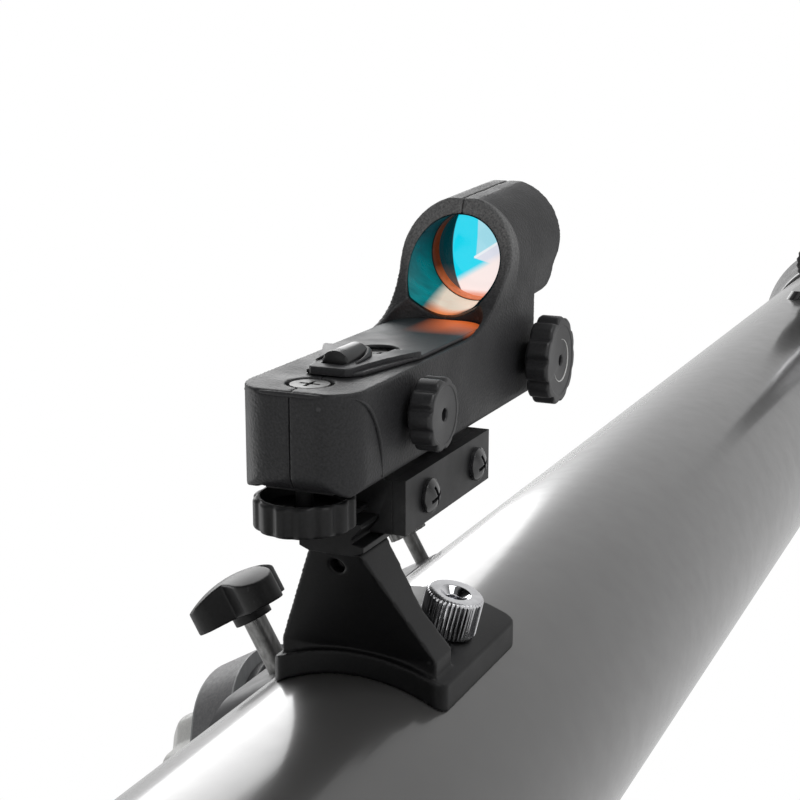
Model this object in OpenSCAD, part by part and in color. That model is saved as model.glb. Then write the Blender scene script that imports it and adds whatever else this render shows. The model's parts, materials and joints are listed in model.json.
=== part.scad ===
// Single-arm Dobsonian telescope: a long reflector tube on a rocker base, with a
// red-dot finder on a pedestal shoe. Millimetres, +Z up, the tube points along +Y.
// The origin is the azimuth axis at floor level.

/* [Telescope tube] */
// Outside diameter of the main tube
tube_d = 90; // [88:0.5:92]
// Wall of the main tube
tube_wall = 1.5; // [1:0.25:2]
// Tube length behind the altitude axis
rear_len = 325; // [315:1:330]
// Tube length ahead of the altitude axis
front_len = 610; // [590:1:640]
// Altitude of the tube as it rests
rest_altitude = 35; // [0:1:45]
// Roll of the tube, which leans the finder to the right of vertical
roll = 30; // [20:1:35]

/* [Optics] */
// Diameter of the primary mirror
mirror_d = 76; // [70:1:78]
// Focal length of the primary mirror
focal_len = 900; // [880:1:920]
// Distance from the tube axis to the focal plane
focus_out = 129; // [120:1:135]

/* [Rocker base] */
// Height of the altitude axis above the floor
axis_h = 430; // [425:1:460]
// Diameter of the ground board
ground_d = 420; // [400:5:460]
// Diameter of the turntable board
turn_d = 400; // [380:5:400]
// Thickness of every board
board_t = 18; // [16:1:18]
// Radius of the rounded top of the side arm
arm_top_r = 38; // [37:1:40]

/* [Finder] */
// Distance from the finder's rear end to the altitude axis, along the tube
finder_back = 165; // [160:1:170]
// Length of the finder's lower housing
housing_l = 114; // [112:1:116]
// Width of the finder housing
housing_w = 28; // [27:0.5:29]
// Height of the deck above the tube axis
deck_z = 120; // [119.5:0.5:120.5]
// Radius of the finder's window
window_r = 12.4; // [12:0.1:12.8]

/* [Hidden] */
$fn = 64;

gap = 0.05;             // radial clearance of a running fit
skin = 0.1;             // face clearance between pieces that slide past each other
tube_r = tube_d / 2;
bore_r = tube_r - tube_wall;
mirror_r = mirror_d / 2;

// base heights
foot_h = 14;
ground_z = foot_h;
pad_z = ground_z + board_t;
pad_t = 3;
turn_z = pad_z + pad_t + skin;
deck_top = turn_z + board_t;
bolt_r = 5;
socket_z = 3;           // mouth of the tripod socket, just clear of the floor
socket_r = 4;
socket_l = 10;
foot_ring_r = 175;
pad_ring_r = 150;

// arm and bearing, across X
arm_in = -96;
arm_out = arm_in - board_t;
arm_half = 125;
gusset_y = 70;
gusset_t = 15;
gusset_h = 175;
gusset_w = 64;
gusset_top_w = 13;
screw_bite = 11;
shaft_r = 10;
bush_r = 14;
flange_x = arm_in + 5;
washer_x = flange_x + 2.5;
boss_x = washer_x + skin;
screw_rows = [25, 60, 95];

// saddle, in the tube frame: X across, Y along the tube, Z up
plate_in = -62;
plate_out = -74;
bar_half = 17;
bar_neck = 13;
bar_in = -50;
ledge_in = -48;
jaw_top = 23;
jaw_travel = 3;
ledge_low = jaw_top + jaw_travel + 0.5;
ledge_top = 36;
saddle_half = 72;
bolt_x = -55;
front_bolt_y = 60;
back_bolt_y = -50;
near_rod_r = 3.6;
far_rod_r = 2.6;
knob_z = 53;

// optics along the tube
mirror_y = -rear_len + 29;
secondary_y = mirror_y + focal_len - focus_out;
spider_y = secondary_y + 34;

// focuser, in its own frame with Z pointing out of the tube
focuser_turn = roll + 30;
draw_r = 17;
draw_bore = 15.9;
pinion_z = 63;
pinion_r = 5;
pinion_x = -(draw_r + 2.6 + pinion_r);
tooth_pitch = 2 * PI * pinion_r / 12;

// finder heights and places, in the finder frame: Y from its rear end, Z from the tube axis
housing_z = 97.3;
cradle_z = housing_z + 0.2;
block_top = 95.2;
block_low = 82.4;
block_y0 = 27.5;
block_y1 = 79.5;
plate_x = 11.4;
side_x = 14.5;
tilt_y = 75;
tilt_z = 93;
knob_y = 6.8;
side_knob_y = 33.5;
side_knob_z = 109.8;
bright_y = 110.5;
bright_z = 107.6;
window_z = 134.2;
seat_r = window_r + 0.55;
seat_y = 105.5;
hood_r = 15.2;
hood_z = 135.7;
hood_roof = 150.4;
hood_front = 131.2;
hood_pitch = 3;
rail_y0 = 19;
rail_y1 = 88;
foot_y0 = 31;
foot_y1 = 80;
foot_skin = tube_r + gap;
flange_r = tube_r + 6;
nut_y = 57.3;
nut_angle = 13.9;
nut_r = 7.3;
nut_h = 10;
stud_r = 2;

// ---------------------------------------------------------------- frames and shapes

module tube_frame() {
    translate([0, 0, axis_h]) rotate([rest_altitude, 0, 0]) children();
}

module finder_frame() {
    tube_frame() translate([0, -finder_back, 0]) rotate([0, roll, 0]) children();
}

// frame of a thumb nut, with Z pointing out of the tube
module nut_place(side) {
    finder_frame() rotate([0, side * nut_angle, 0]) translate([0, nut_y, 0]) children();
}

module focuser_frame() {
    tube_frame() translate([0, secondary_y, 0]) rotate([0, focuser_turn, 0]) children();
}

// +Z of the child turned to +Y, or to +X
module along_y(x, y, z) { translate([x, y, z]) rotate([-90, 0, 0]) children(); }
module along_x(x, y, z) { translate([x, y, z]) rotate([0, 90, 0]) children(); }

// outline in X and Z drawn out along Y, from y0 to y1
module draw_y(y0, y1) {
    translate([0, y1, 0]) rotate([90, 0, 0]) linear_extrude(y1 - y0) children();
}

// outline in Y and Z drawn out along X, from x0 to x1
module draw_x(x0, x1) {
    translate([x0, 0, 0]) rotate([90, 0, 90]) linear_extrude(x1 - x0) children();
}

module box(x0, x1, y0, y1, z0, z1) {
    translate([x0, y0, z0]) cube([x1 - x0, y1 - y0, z1 - z0]);
}

module ring(outer, inner, height) {
    difference() {
        cylinder(r = outer, h = height);
        translate([0, 0, -1]) cylinder(r = inner, h = height + 2);
    }
}

// rectangle from (x0, y0) to (x1, y1) with round corners
module rounded(x0, x1, y0, y1, r) {
    translate([x0 + r, y0]) square([x1 - x0 - 2 * r, y1 - y0]);
    translate([x0, y0 + r]) square([x1 - x0, y1 - y0 - 2 * r]);
    for (x = [x0 + r, x1 - r], y = [y0 + r, y1 - r]) translate([x, y]) circle(r = r);
}

// flat disc with scallops around its edge
module fluted(r, lobes, depth, notch) {
    difference() {
        circle(r = r);
        for (i = [0 : lobes - 1])
            rotate(i * 360 / lobes) translate([r + notch - depth, 0]) circle(r = notch, $fn = 24);
    }
}

// points of an arc, for outlines
function arc(cx, cy, r, a0, a1, n) =
    [for (i = [0 : n]) let (a = a0 + (a1 - a0) * i / n) [cx + r * cos(a), cy + r * sin(a)]];

module ring_of(count, r, start = 90) {
    for (i = [0 : count - 1]) rotate(start + i * 360 / count) translate([r, 0, 0]) children();
}

// ---------------------------------------------------------------- rocker base

module ground_board() color("#26262a") difference() {
    translate([0, 0, ground_z]) cylinder(d = ground_d, h = board_t, $fn = 128);
    translate([0, 0, ground_z - 1]) cylinder(r = bolt_r + gap, h = board_t + 2);
    translate([0, 0, ground_z - 1]) cylinder(r = 12, h = 9);
}

module rubber_feet() color("#151515")
    ring_of(3, foot_ring_r) cylinder(r = 18, h = foot_h);

module glide_pads() color("white")
    translate([0, 0, pad_z]) ring_of(3, pad_ring_r, 30) cylinder(r = 15, h = pad_t);

// headed bolt with a tripod socket in its head, and its washer and lock nut
module azimuth_bolt() color("silver") {
    difference() {
        union() {
            translate([0, 0, socket_z]) cylinder(r = 11.5, h = ground_z + 8 - socket_z);
            translate([0, 0, ground_z - 3]) cylinder(r = 20, h = 3);
            translate([0, 0, ground_z]) cylinder(r = bolt_r, h = deck_top - ground_z + 14);
        }
        translate([0, 0, socket_z - 1]) cylinder(r = socket_r, h = socket_l + 1);
    }
    translate([0, 0, deck_top + skin]) ring(14, bolt_r + gap, 2);
    translate([0, 0, deck_top + skin + 2]) difference() {
        cylinder(r = 9.5, h = 8, $fn = 6);
        translate([0, 0, -1]) cylinder(r = bolt_r + gap, h = 10);
    }
}

module turntable_board() color("#1c1c20") difference() {
    translate([0, 0, turn_z]) cylinder(d = turn_d, h = board_t, $fn = 128);
    translate([0, 0, turn_z - 1]) cylinder(r = bolt_r + gap, h = board_t + 2);
}

// angle of the point where the arm's straight edge meets its round top
arm_drop = axis_h - deck_top;
arm_touch = atan2(-arm_drop, arm_half) + acos(arm_top_r / norm([arm_half, arm_drop]));
arm_tangent = [arm_top_r * cos(arm_touch), axis_h + arm_top_r * sin(arm_touch)];
grip_z = 200;

module arm_outline() {
    polygon([[-arm_half, deck_top], [arm_half, deck_top], arm_tangent,
        [-arm_tangent[0], arm_tangent[1]]]);
    translate([0, axis_h]) circle(r = arm_top_r);
}

module grip_outline() {
    rounded(-50, 50, grip_z, grip_z + 32, 15.9);
}

module screw_places() {
    for (y = [-gusset_y - gusset_t / 2, gusset_y + gusset_t / 2], z = screw_rows)
        translate([arm_in, y, deck_top + z]) rotate([0, -90, 0]) children();
}

module side_arm() color("#8b8d90") difference() {
    draw_x(arm_out, arm_in) arm_outline();
    draw_x(arm_out - 1, arm_in + 1) grip_outline();
    along_x(arm_out - 1, 0, axis_h) cylinder(r = bush_r + 0.02, h = board_t + 2);
    screw_places() translate([0, 0, -1]) cylinder(r = 2.6, h = board_t + 2, $fn = 24);
}

// width of a gusset at a share t of its height, flaring out towards the turntable
function gusset_flare(t) = gusset_top_w + (gusset_w - gusset_top_w) * pow(1 - t, 2.2);

// two buttresses outside the arm, with a hollow curved edge
module arm_gussets() color("#8b8d90") for (y0 = [-gusset_y - gusset_t, gusset_y]) difference() {
    draw_y(y0, y0 + gusset_t) polygon(concat([[arm_out, deck_top], [arm_out, deck_top + gusset_h]],
        [for (i = [12 : -1 : 0]) let (t = i / 12)
            [arm_out - gusset_flare(t), deck_top + board_t + (gusset_h - board_t) * t]],
        [[arm_out - gusset_w, deck_top]]));
    screw_places() translate([0, 0, board_t - 1]) cylinder(r = 2.6, h = screw_bite + 2, $fn = 24);
}

module arm_screws() color("silver") screw_places() {
    translate([0, 0, -2.4]) difference() {
        cylinder(r = 4.6, h = 2.4, $fn = 32);
        translate([0, 0, -1]) cylinder(r = 2.4, h = 2.4, $fn = 6);
    }
    cylinder(r = 2.5, h = board_t + screw_bite, $fn = 24);
}

module altitude_bushing() color("#303034") difference() {
    union() {
        along_x(arm_out, 0, axis_h) cylinder(r = bush_r, h = board_t + 1);
        along_x(arm_in, 0, axis_h) cylinder(r = 34, h = flange_x - arm_in);
    }
    along_x(arm_out - 1, 0, axis_h) cylinder(r = shaft_r + gap, h = 40);
}

module friction_washer() color("white")
    along_x(flange_x, 0, axis_h) ring(32, shaft_r + gap, washer_x - flange_x);

knob_x = arm_out - 6;
knob_t = 22;

// lobed knob that squeezes the friction washer, on a steel thrust washer
module tension_knob() color("#d6d6d4") {
    difference() {
        union() {
            along_x(knob_x - knob_t, 0, axis_h) linear_extrude(knob_t - 4) fluted(27, 6, 4.5, 12);
            along_x(knob_x - 4, 0, axis_h) cylinder(r = 15, h = 4);
        }
        along_x(knob_x - knob_t + 5, 0, axis_h) cylinder(r = shaft_r + gap, h = knob_t);
    }
    along_x(knob_x + skin, 0, axis_h) ring(18, shaft_r + gap, 5.8);
}

// ---------------------------------------------------------------- altitude saddle

module pivot_shaft() color("silver")
    along_x(knob_x - knob_t + 6, 0, axis_h)
        cylinder(r = shaft_r, h = plate_out - (knob_x - knob_t + 6));

module saddle_outline() {
    polygon([[plate_out, -30], [ledge_in, -30], [ledge_in, -bar_neck - 1.2],
        [plate_in + skin, -bar_half - 1.2], [plate_in, -bar_half - 1.2], [plate_in, ledge_low],
        [ledge_in, ledge_low], [ledge_in, ledge_top - 3], [ledge_in - 3, ledge_top],
        [plate_out + 5, ledge_top], [plate_out, ledge_top - 5]]);
}

// plate with a fixed lower jaw and an upper ledge that carries the clamp bolts
module saddle_body() color("#34353a") tube_frame() difference() {
    union() {
        intersection() {
            draw_y(-saddle_half, saddle_half + 2) saddle_outline();
            draw_x(-100, 0) rounded(-saddle_half, saddle_half + 2, -30, ledge_top, 12);
        }
        along_x(boss_x, 0, 0) cylinder(r = 33, h = plate_out - boss_x);
    }
    for (y = [back_bolt_y, front_bolt_y]) translate([bolt_x, y, ledge_low - 1])
        cylinder(r = (y < 0 ? near_rod_r : far_rod_r) + gap, h = 30, $fn = 48);
    along_x(boss_x - 1, 0, 0) cylinder(r = shaft_r + 0.02, h = plate_out - boss_x + 1);
}

module clamp_jaw() color("#4a4b50") tube_frame()
    draw_y(-saddle_half + 14, saddle_half - 2) polygon([
        [plate_in + skin, bar_half + 0.1], [bar_in, bar_neck + 0.1], [ledge_in, bar_neck + 0.1],
        [ledge_in, jaw_top], [plate_in + skin, jaw_top]]);

module clamp_bolt() color("#6b6b6b") tube_frame() translate([bolt_x, back_bolt_y, jaw_top]) {
    cylinder(r = near_rod_r, h = knob_z - jaw_top + 6, $fn = 48);
}

// domed three-lobed knob on a short hub
module star_knob() color("#1d1d1f") tube_frame() translate([bolt_x, back_bolt_y, knob_z])
    difference() {
        union() {
            cylinder(r = 6, h = 3);
            intersection() {
                translate([0, 0, 3]) linear_extrude(12) for (i = [0 : 2]) rotate(90 + i * 120) {
                    translate([-4, -6.6]) square([14, 13.2]);
                    translate([10.2, 0]) circle(r = 6.6);
                }
                translate([0, 0, -17]) sphere(r = 32, $fn = 96);
            }
        }
        translate([0, 0, -1]) cylinder(r = near_rod_r + 0.02, h = 7.02, $fn = 48);
    }

module rear_clamp_screw() color("#77787a") tube_frame()
    translate([bolt_x, front_bolt_y, jaw_top]) {
        cylinder(r = far_rod_r, h = 24.2, $fn = 48);
        translate([0, 0, 24]) linear_extrude(9) fluted(7, 16, 0.6, 1.2);
    }

// ---------------------------------------------------------------- tube and optics

bar_y = [-45, 45];

module main_tube() color("#3a3a3c") difference() {
    tube_frame() difference() {
        along_y(0, -rear_len, 0) ring(tube_r, bore_r, front_len + rear_len);
        for (y = bar_y) along_x(-60, y, 0) cylinder(r = 3.1, h = 30, $fn = 32);
    }
    focuser_frame() translate([0, 0, 20]) cylinder(r = draw_r + 3.5, h = 60);
    for (side = [-1, 1]) nut_place(side) translate([0, 0, 30])
        cylinder(r = stud_r + gap, h = 30, $fn = 32);
}

// flared moulding over the open end of the tube
module front_ring() color("#161617") tube_frame() along_y(0, front_len, 0) rotate_extrude($fn = 128)
    polygon(concat([[bore_r - 1, skin], [bore_r - 1, 17], [46, 19], [51.5, 19]],
        arc(51.5, 15.5, 3.5, 90, -10, 6),
        [[51, 3], [48, -6], [47, -16], [tube_r + gap, -16], [tube_r + gap, skin]]));

// bar on the tube's left flank, wider where the jaws grip it
module dovetail_bar() color("#202124") tube_frame() difference() {
    draw_y(-95, 95) polygon([[plate_in, -bar_half], [plate_in, bar_half], [bar_in, bar_neck],
        [bar_in, 10], [-40, 10], [-40, -10], [bar_in, -10], [bar_in, -bar_neck]]);
    along_y(0, -100, 0) cylinder(r = tube_r + gap, h = 200, $fn = 128);
    for (y = bar_y) {
        along_x(-70, y, 0) cylinder(r = 3.1, h = 40, $fn = 32);
        along_x(plate_in - 1, y, 0) cylinder(r = 5.7, h = 4.6);
    }
}

module dovetail_screws() color("silver") tube_frame() for (y = bar_y) {
    along_x(plate_in + 0.4, y, 0) difference() {
        cylinder(r = 5.5, h = 3.2);
        translate([0, 0, -1]) cylinder(r = 2.6, h = 2.6, $fn = 6);
    }
    along_x(plate_in + 3.5, y, 0) cylinder(r = 3, h = 20, $fn = 32);
    along_x(-42.9, y, 0) cylinder(r = 5, h = 4, $fn = 6);
}

collimation_r = 34;

module rear_ring() color("#161617") tube_frame() difference() {
    union() {
        along_y(0, -rear_len - 6, 0) ring(tube_r + 3, tube_r + gap, 24);
        along_y(0, -rear_len - 6, 0) ring(tube_r + 3, 24, 5.9);
    }
    along_y(0, -rear_len - 10, 0) ring_of(3, collimation_r, 30)
        cylinder(r = 2.5 + gap, h = 30, $fn = 32);
}

// plate and three clips that hold the mirror
module mirror_cell() color("#222224") tube_frame() along_y(0, mirror_y - 18, 0) {
    difference() {
        cylinder(r = bore_r - 1, h = 6);
        translate([0, 0, -1]) cylinder(r = 14, h = 8);
        ring_of(3, collimation_r, 30) translate([0, 0, -1]) cylinder(r = 2.5 + gap, h = 5, $fn = 32);
    }
    ring_of(3, 0) {
        box(mirror_r + 0.3, bore_r - 1.9, -6, 6, 4, 19.6);
        box(mirror_r - 4, mirror_r + 1, -6, 6, 18.1, 19.6);
    }
}

module primary_mirror() color("#dfe6ea") tube_frame() along_y(0, mirror_y - 12, 0) difference() {
    cylinder(r = mirror_r, h = 12, $fn = 128);
    translate([0, 0, 2 * focal_len + 11.6]) sphere(r = 2 * focal_len, $fn = 360);
}

module collimation_knob(i) color("#8a8a8a") tube_frame()
    along_y(0, -rear_len - 6, 0) rotate(30 + i * 120) translate([collimation_r, 0, 0]) {
        translate([0, 0, -12]) linear_extrude(11.8) fluted(7, 14, 0.7, 1.3);
        translate([0, 0, -1]) cylinder(r = 2.5, h = mirror_y + rear_len - 9, $fn = 32);
    }

module collimation_knob_1() { collimation_knob(0); }
module collimation_knob_2() { collimation_knob(1); }
module collimation_knob_3() { collimation_knob(2); }

// three thin vanes and a hub that carries the secondary holder
module spider() color("#161617") tube_frame() along_y(0, spider_y, 0) {
    difference() {
        cylinder(r = 9, h = 14);
        translate([0, 0, -1]) cylinder(r = 2.55, h = 16, $fn = 32);
    }
    ring_of(3, 0) {
        box(8, bore_r - 1.9, -0.6, 0.6, 0, 14);
        box(bore_r - 2.5, bore_r - 0.4, -4, 4, 0, 14);
    }
}

// cylinder cut at 45 degrees, with a bolt up through the spider hub
module secondary_holder() color("#1a1a1b") {
    focuser_frame() difference() {
        along_y(0, -20, 0) cylinder(r = 9.6, h = 20 + 33.8);
        translate([0, 3.1 * sqrt(2), 0]) rotate([-45, 0, 0]) translate([-30, -60, -60])
            cube([60, 60, 120]);
    }
    tube_frame() along_y(0, spider_y, 0) {
        translate([0, 0, -1.2]) cylinder(r = 2.5, h = 18, $fn = 32);
        translate([0, 0, 14.1]) cylinder(r = 5, h = 3.5);
    }
}

module secondary_mirror() color("#dfe6ea") focuser_frame() intersection() {
    along_y(0, -25, 0) cylinder(r = 10.2, h = 50);
    rotate([-45, 0, 0]) translate([-20, 0, -20]) cube([40, 3, 40]);
}

// ---------------------------------------------------------------- focuser and eyepiece

// saddle flange, barrel and pinion box
module focuser_base() color("#1b1b1d") focuser_frame() difference() {
    union() {
        intersection() {
            translate([0, 0, 20]) linear_extrude(60) rounded(-31, 31, -30, 30, 6);
            along_y(0, -40, 0) cylinder(r = tube_r + 4.5, h = 80, $fn = 128);
            box(-40, 40, -40, 40, 20, 60);
        }
        translate([0, 0, 44]) cylinder(r = 21.5, h = 32);
        box(pinion_x - 8, 0, -10, 10, 46, 72);
    }
    along_y(0, -50, 0) cylinder(r = tube_r + gap, h = 100, $fn = 128);
    translate([0, 0, 20]) cylinder(r = draw_r + gap, h = 80);
    box(-draw_r - 3, -10, -3.2, 3.2, 20, 90);
    along_y(pinion_x, -3.3, pinion_z) cylinder(r = pinion_r + 1.4, h = 6.6);
    along_y(pinion_x, -30, pinion_z) cylinder(r = 2 + gap, h = 60, $fn = 32);
    along_x(10, 0, 70) cylinder(r = 2 + gap, h = 30, $fn = 32);
    box(pinion_x, -15, -3.2, 3.2, pinion_z - 5, pinion_z + 5);
}

// racked tube that holds the eyepiece
module drawtube() color("#c9ccd0") focuser_frame() difference() {
    union() {
        translate([0, 0, 42]) cylinder(r = draw_r, h = 56);
        translate([0, 0, 86]) cylinder(r = 20, h = 14);
        box(-draw_r - 1.2, -draw_r + 1, -3, 3, 43, 85);
        for (i = [-7 : 8]) box(-draw_r - 2.5, -draw_r, -3, 3,
            pinion_z + (i - 0.71) * tooth_pitch, pinion_z + (i - 0.29) * tooth_pitch);
    }
    translate([0, 0, 30]) cylinder(r = draw_bore, h = 90);
    along_x(5, 0, 93) cylinder(r = 2 + gap, h = 30, $fn = 32);
}

// toothed pinion and its shaft
module pinion_shaft() color("silver") focuser_frame() {
    along_y(pinion_x, -37, pinion_z) cylinder(r = 2, h = 74, $fn = 32);
    along_y(pinion_x, -3, pinion_z) linear_extrude(6) {
        circle(r = pinion_r - 1.1);
        for (i = [0 : 11]) rotate(i * 30) translate([2, -0.45]) square([pinion_r - 1.2, 0.9]);
    }
}

module focus_knobs() color("#1a1a1b") focuser_frame() for (side = [-1, 1])
    along_y(pinion_x, side > 0 ? 22.5 : -38.5, pinion_z) difference() {
        linear_extrude(16) fluted(14, 20, 0.8, 1.6);
        translate([0, 0, side > 0 ? -1 : 1]) cylinder(r = 2.02, h = 16, $fn = 32);
    }

module thumb_screw(reach) {
    cylinder(r = 2, h = reach, $fn = 32);
    translate([0, 0, reach]) linear_extrude(8) fluted(5, 14, 0.5, 1);
}

module focus_lock_screw() color("#c0c0c0") focuser_frame()
    along_x(draw_r + 0.3, 0, 70) thumb_screw(9);

module eyepiece_lock_screw() color("#c0c0c0") focuser_frame()
    along_x(draw_bore + 0.1, 0, 93) thumb_screw(8);

barrel_r = draw_bore - gap;

module eyepiece_barrel() color("#c9ccd0") focuser_frame() translate([0, 0, 82])
    ring(barrel_r, 14.4, 24);

module eyepiece_housing() color("#1b1b1d") focuser_frame() translate([0, 0, 106])
    rotate_extrude($fn = 96) polygon([[12, 0], [18.5, 0], [19, 0.5], [19, 5], [18, 7],
        [18, 17], [19, 19], [19, 22], [15.5, 26], [12, 26]]);

module eyepiece_lens() color("#7fb0a8") focuser_frame() translate([0, 0, 125])
    cylinder(r = 11.9, h = 4);

module eyecup() color("#101010") focuser_frame() translate([0, 0, 132.1])
    rotate_extrude($fn = 96) polygon([[10, 0], [15.6, 0], [17, 3], [17, 8], [15.6, 8], [15, 4],
        [10, 3]]);

// ---------------------------------------------------------------- finder shoe

pedestal_top = 79;
pedestal_half_top = 6.4;
pedestal_half_low = 20;

// curved flange and tapered pedestal, with two thumb-nut holes
module shoe_foot() color("#1e1e20") difference() {
    finder_frame() difference() {
        union() {
            intersection() {
                translate([0, 0, 30]) linear_extrude(30) rounded(-22.5, 22.5, foot_y0, foot_y1, 3);
                along_y(0, 0, 0) cylinder(r = flange_r, h = 120, $fn = 128);
            }
            intersection() {
                draw_y(10, 90) polygon([[-pedestal_half_low, 44], [pedestal_half_low, 44],
                    [pedestal_half_low, 51], [pedestal_half_top, pedestal_top],
                    [-pedestal_half_top, pedestal_top], [-pedestal_half_low, 51]]);
                draw_x(-30, 30) polygon([[foot_y0 + 1.4, 44], [foot_y0 + 1.4, 51],
                    [rail_y0 + 1.4, pedestal_top], [35.5, pedestal_top], [37, 62], [42, 52],
                    [42, 44]]);
            }
        }
        along_y(0, 0, 0) cylinder(r = foot_skin, h = 120, $fn = 128);
        along_y(0, 0, 75.2) cylinder(r = 1.8, h = 26, $fn = 32);
    }
    for (side = [-1, 1]) nut_place(side) translate([0, 0, 30])
        cylinder(r = stud_r + gap, h = 40, $fn = 32);
}

// dovetail rail on top of the pedestal
module shoe_rail() color("#1a1a1c") finder_frame() draw_y(rail_y0, rail_y1)
    polygon([[-5.5, pedestal_top], [5.5, pedestal_top], [8, pedestal_top + 1],
        [8, pedestal_top + 2.4], [5.2, pedestal_top + 2.9], [5.2, block_low + 0.6],
        [7.6, block_low + 3.3], [7.6, block_low + 4.3], [-7.6, block_low + 4.3],
        [-7.6, block_low + 3.3], [-5.2, block_low + 0.6], [-5.2, pedestal_top + 2.9],
        [-8, pedestal_top + 2.4], [-8, pedestal_top + 1]]);

// knurled thumb nut with a countersunk middle, and the stud that it turns on
module knurled_nut(side) nut_place(side) {
    translate([0, 0, bore_r - 2.3]) cylinder(r = 4, h = 2, $fn = 32);
    translate([0, 0, bore_r - 1]) cylinder(r = stud_r, h = flange_r + 6.5 - bore_r + 1, $fn = 32);
    translate([0, 0, flange_r + skin]) difference() {
        linear_extrude(nut_h) fluted(nut_r, 34, 0.35, 0.6);
        translate([0, 0, nut_h - 1.8]) cylinder(r1 = stud_r, r2 = 3.6, h = 2);
        translate([0, 0, nut_h - 5]) cylinder(r = stud_r, h = 4, $fn = 32);
    }
}

module knurled_nut_right() color("#d0d0d2") knurled_nut(1);
module knurled_nut_left() color("#d0d0d2") knurled_nut(-1);

// ---------------------------------------------------------------- finder clamp and cradle

tongue_low = 88.1;
tongue_top = 89.1;
screw_y = [40.5, 70.2];
screw_z = 88.5;
clamp_screw_r = 1.7;

module clamp_groove() {
    draw_y(0, 100) polygon([[-5.6, 70], [5.6, 70], [5.6, block_low + 0.6], [7.8, block_low + 3.2],
        [7.8, block_low + 4.4], [-7.8, block_low + 4.4], [-7.8, block_low + 3.2],
        [-5.6, block_low + 0.6]]);
}

// fixed half of the rail clamp, with the tongue that carries the altitude knob
module clamp_block() color("#141415") finder_frame() difference() {
    union() {
        box(-side_x, plate_x - 0.05, block_y0, block_y1, block_low, block_top);
        box(-5.2, 5.2, 3, block_y0 + 1, tongue_low, tongue_top);
    }
    clamp_groove();
    translate([0, knob_y, tongue_low - 1]) cylinder(r = 3, h = 3);
    translate([0, 50, 88.5]) cylinder(r = 4.6, h = 10);
    box(-4.5, 4.5, tilt_y - 4.5, tilt_y + 5, 89.5, 100);
    along_x(-20, tilt_y, tilt_z) cylinder(r = 1.55, h = 40, $fn = 32);
    for (y = screw_y) along_x(-20, y, screw_z) cylinder(r = clamp_screw_r + gap, h = 40, $fn = 32);
}

// loose jaw on the right, pulled in by the two screws
module clamp_plate() color("#141415") finder_frame() difference() {
    box(plate_x, side_x, block_y0, block_y1, block_low, block_top);
    for (y = screw_y) along_x(0, y, screw_z) cylinder(r = clamp_screw_r + gap, h = 40, $fn = 32);
}

module clamp_screws() color("#0c0c0c") finder_frame() for (y = screw_y) {
    along_x(-side_x + 1, y, screw_z) cylinder(r = clamp_screw_r, h = 2 * side_x - 1, $fn = 32);
    along_x(side_x, y, screw_z) difference() {
        intersection() {
            cylinder(r = 4.15, h = 2.6);
            translate([0, 0, -3.6]) sphere(r = 6.2);
        }
        for (turn = [20, 110]) rotate(turn) translate([-2.6, -0.45, 1.3]) cube([5.2, 0.9, 3]);
    }
}

// plate in a recess under the housing: hinge lug, hinge pin, post, pivot and adjusting stud
module tilt_cradle() color("#3a3a3c") finder_frame() {
    difference() {
        union() {
            box(-8, 8, 4.2, 84, cradle_z, cradle_z + 1);
            box(-4, 4, tilt_y - 4, tilt_y + 3.9, 91, cradle_z + 0.1);
        }
        translate([0, 50, 90]) cylinder(r = 2, h = 20, $fn = 32);
    }
    along_x(-10.5, tilt_y, tilt_z) cylinder(r = 1.5, h = 21, $fn = 32);
    box(-3, 3, 30, 37, cradle_z, 113);
    translate([0, tilt_y, cradle_z]) cylinder(r = 3, h = 13, $fn = 48);
    translate([0, knob_y, tongue_low - 0.9]) cylinder(r = 1.9, h = cradle_z - tongue_low + 1.4, $fn = 32);
}

module tilt_spring() color("#55565a") finder_frame() for (i = [0 : 5])
    translate([0, 50, 89.1 + i * 1.32]) rotate_extrude() translate([3.4, 0]) circle(r = 0.5, $fn = 16);

// scalloped wheel with a dished top, whose hub turns in the tongue above a clip
module altitude_knob() color("#1b1b1d") finder_frame() translate([0, knob_y, tongue_top + skin])
    difference() {
        union() {
            linear_extrude(7) fluted(11.2, 14, 0.5, 2);
            translate([0, 0, -1.8]) cylinder(r = 2.9, h = 2);
            translate([0, 0, -1.8]) cylinder(r = 3.8, h = 0.6);
        }
        translate([0, 0, 4]) cylinder(r = 9.4, h = 4);
        translate([0, 0, -2]) cylinder(r = 2.35, h = 12, $fn = 32);
    }

module side_knob(r, lobes, depth, t, neck, reach) {
    difference() {
        translate([0, 0, neck]) linear_extrude(t) fluted(r, lobes, depth, 2.2);
        translate([0, 0, neck + t - 2.4]) cylinder(r = 1.4, h = 4, $fn = 24);
    }
    cylinder(r = 4.2, h = neck);
    translate([0, 0, -reach]) cylinder(r = 2, h = reach + 0.1, $fn = 32);
}

half_w = housing_w / 2;

module azimuth_knob() color("#1b1b1d") finder_frame()
    along_x(half_w + skin, side_knob_y, side_knob_z) side_knob(8.4, 10, 0.8, 5.8, 1.6, 10);

module brightness_knob() color("#1b1b1d") finder_frame()
    along_x(half_w + skin, bright_y, bright_z) side_knob(11.7, 11, 1, 6.2, 2.6, 8);

// ---------------------------------------------------------------- finder housing

face_y = 86;        // where the hood's leaning rear face would meet the deck
face_top_y = 97.2;  // where that face meets the roof
face_top_z = 151;
face_slope = atan2(face_top_z - deck_z, face_top_y - face_y);
lid_half = 12.4;    // half width of the lid inset in the deck
lid_end = 86;
lid_corner = 8;
fillet_r = 28;      // sweep from the deck up into that face
fillet_run = fillet_r * tan(face_slope / 2);

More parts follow.
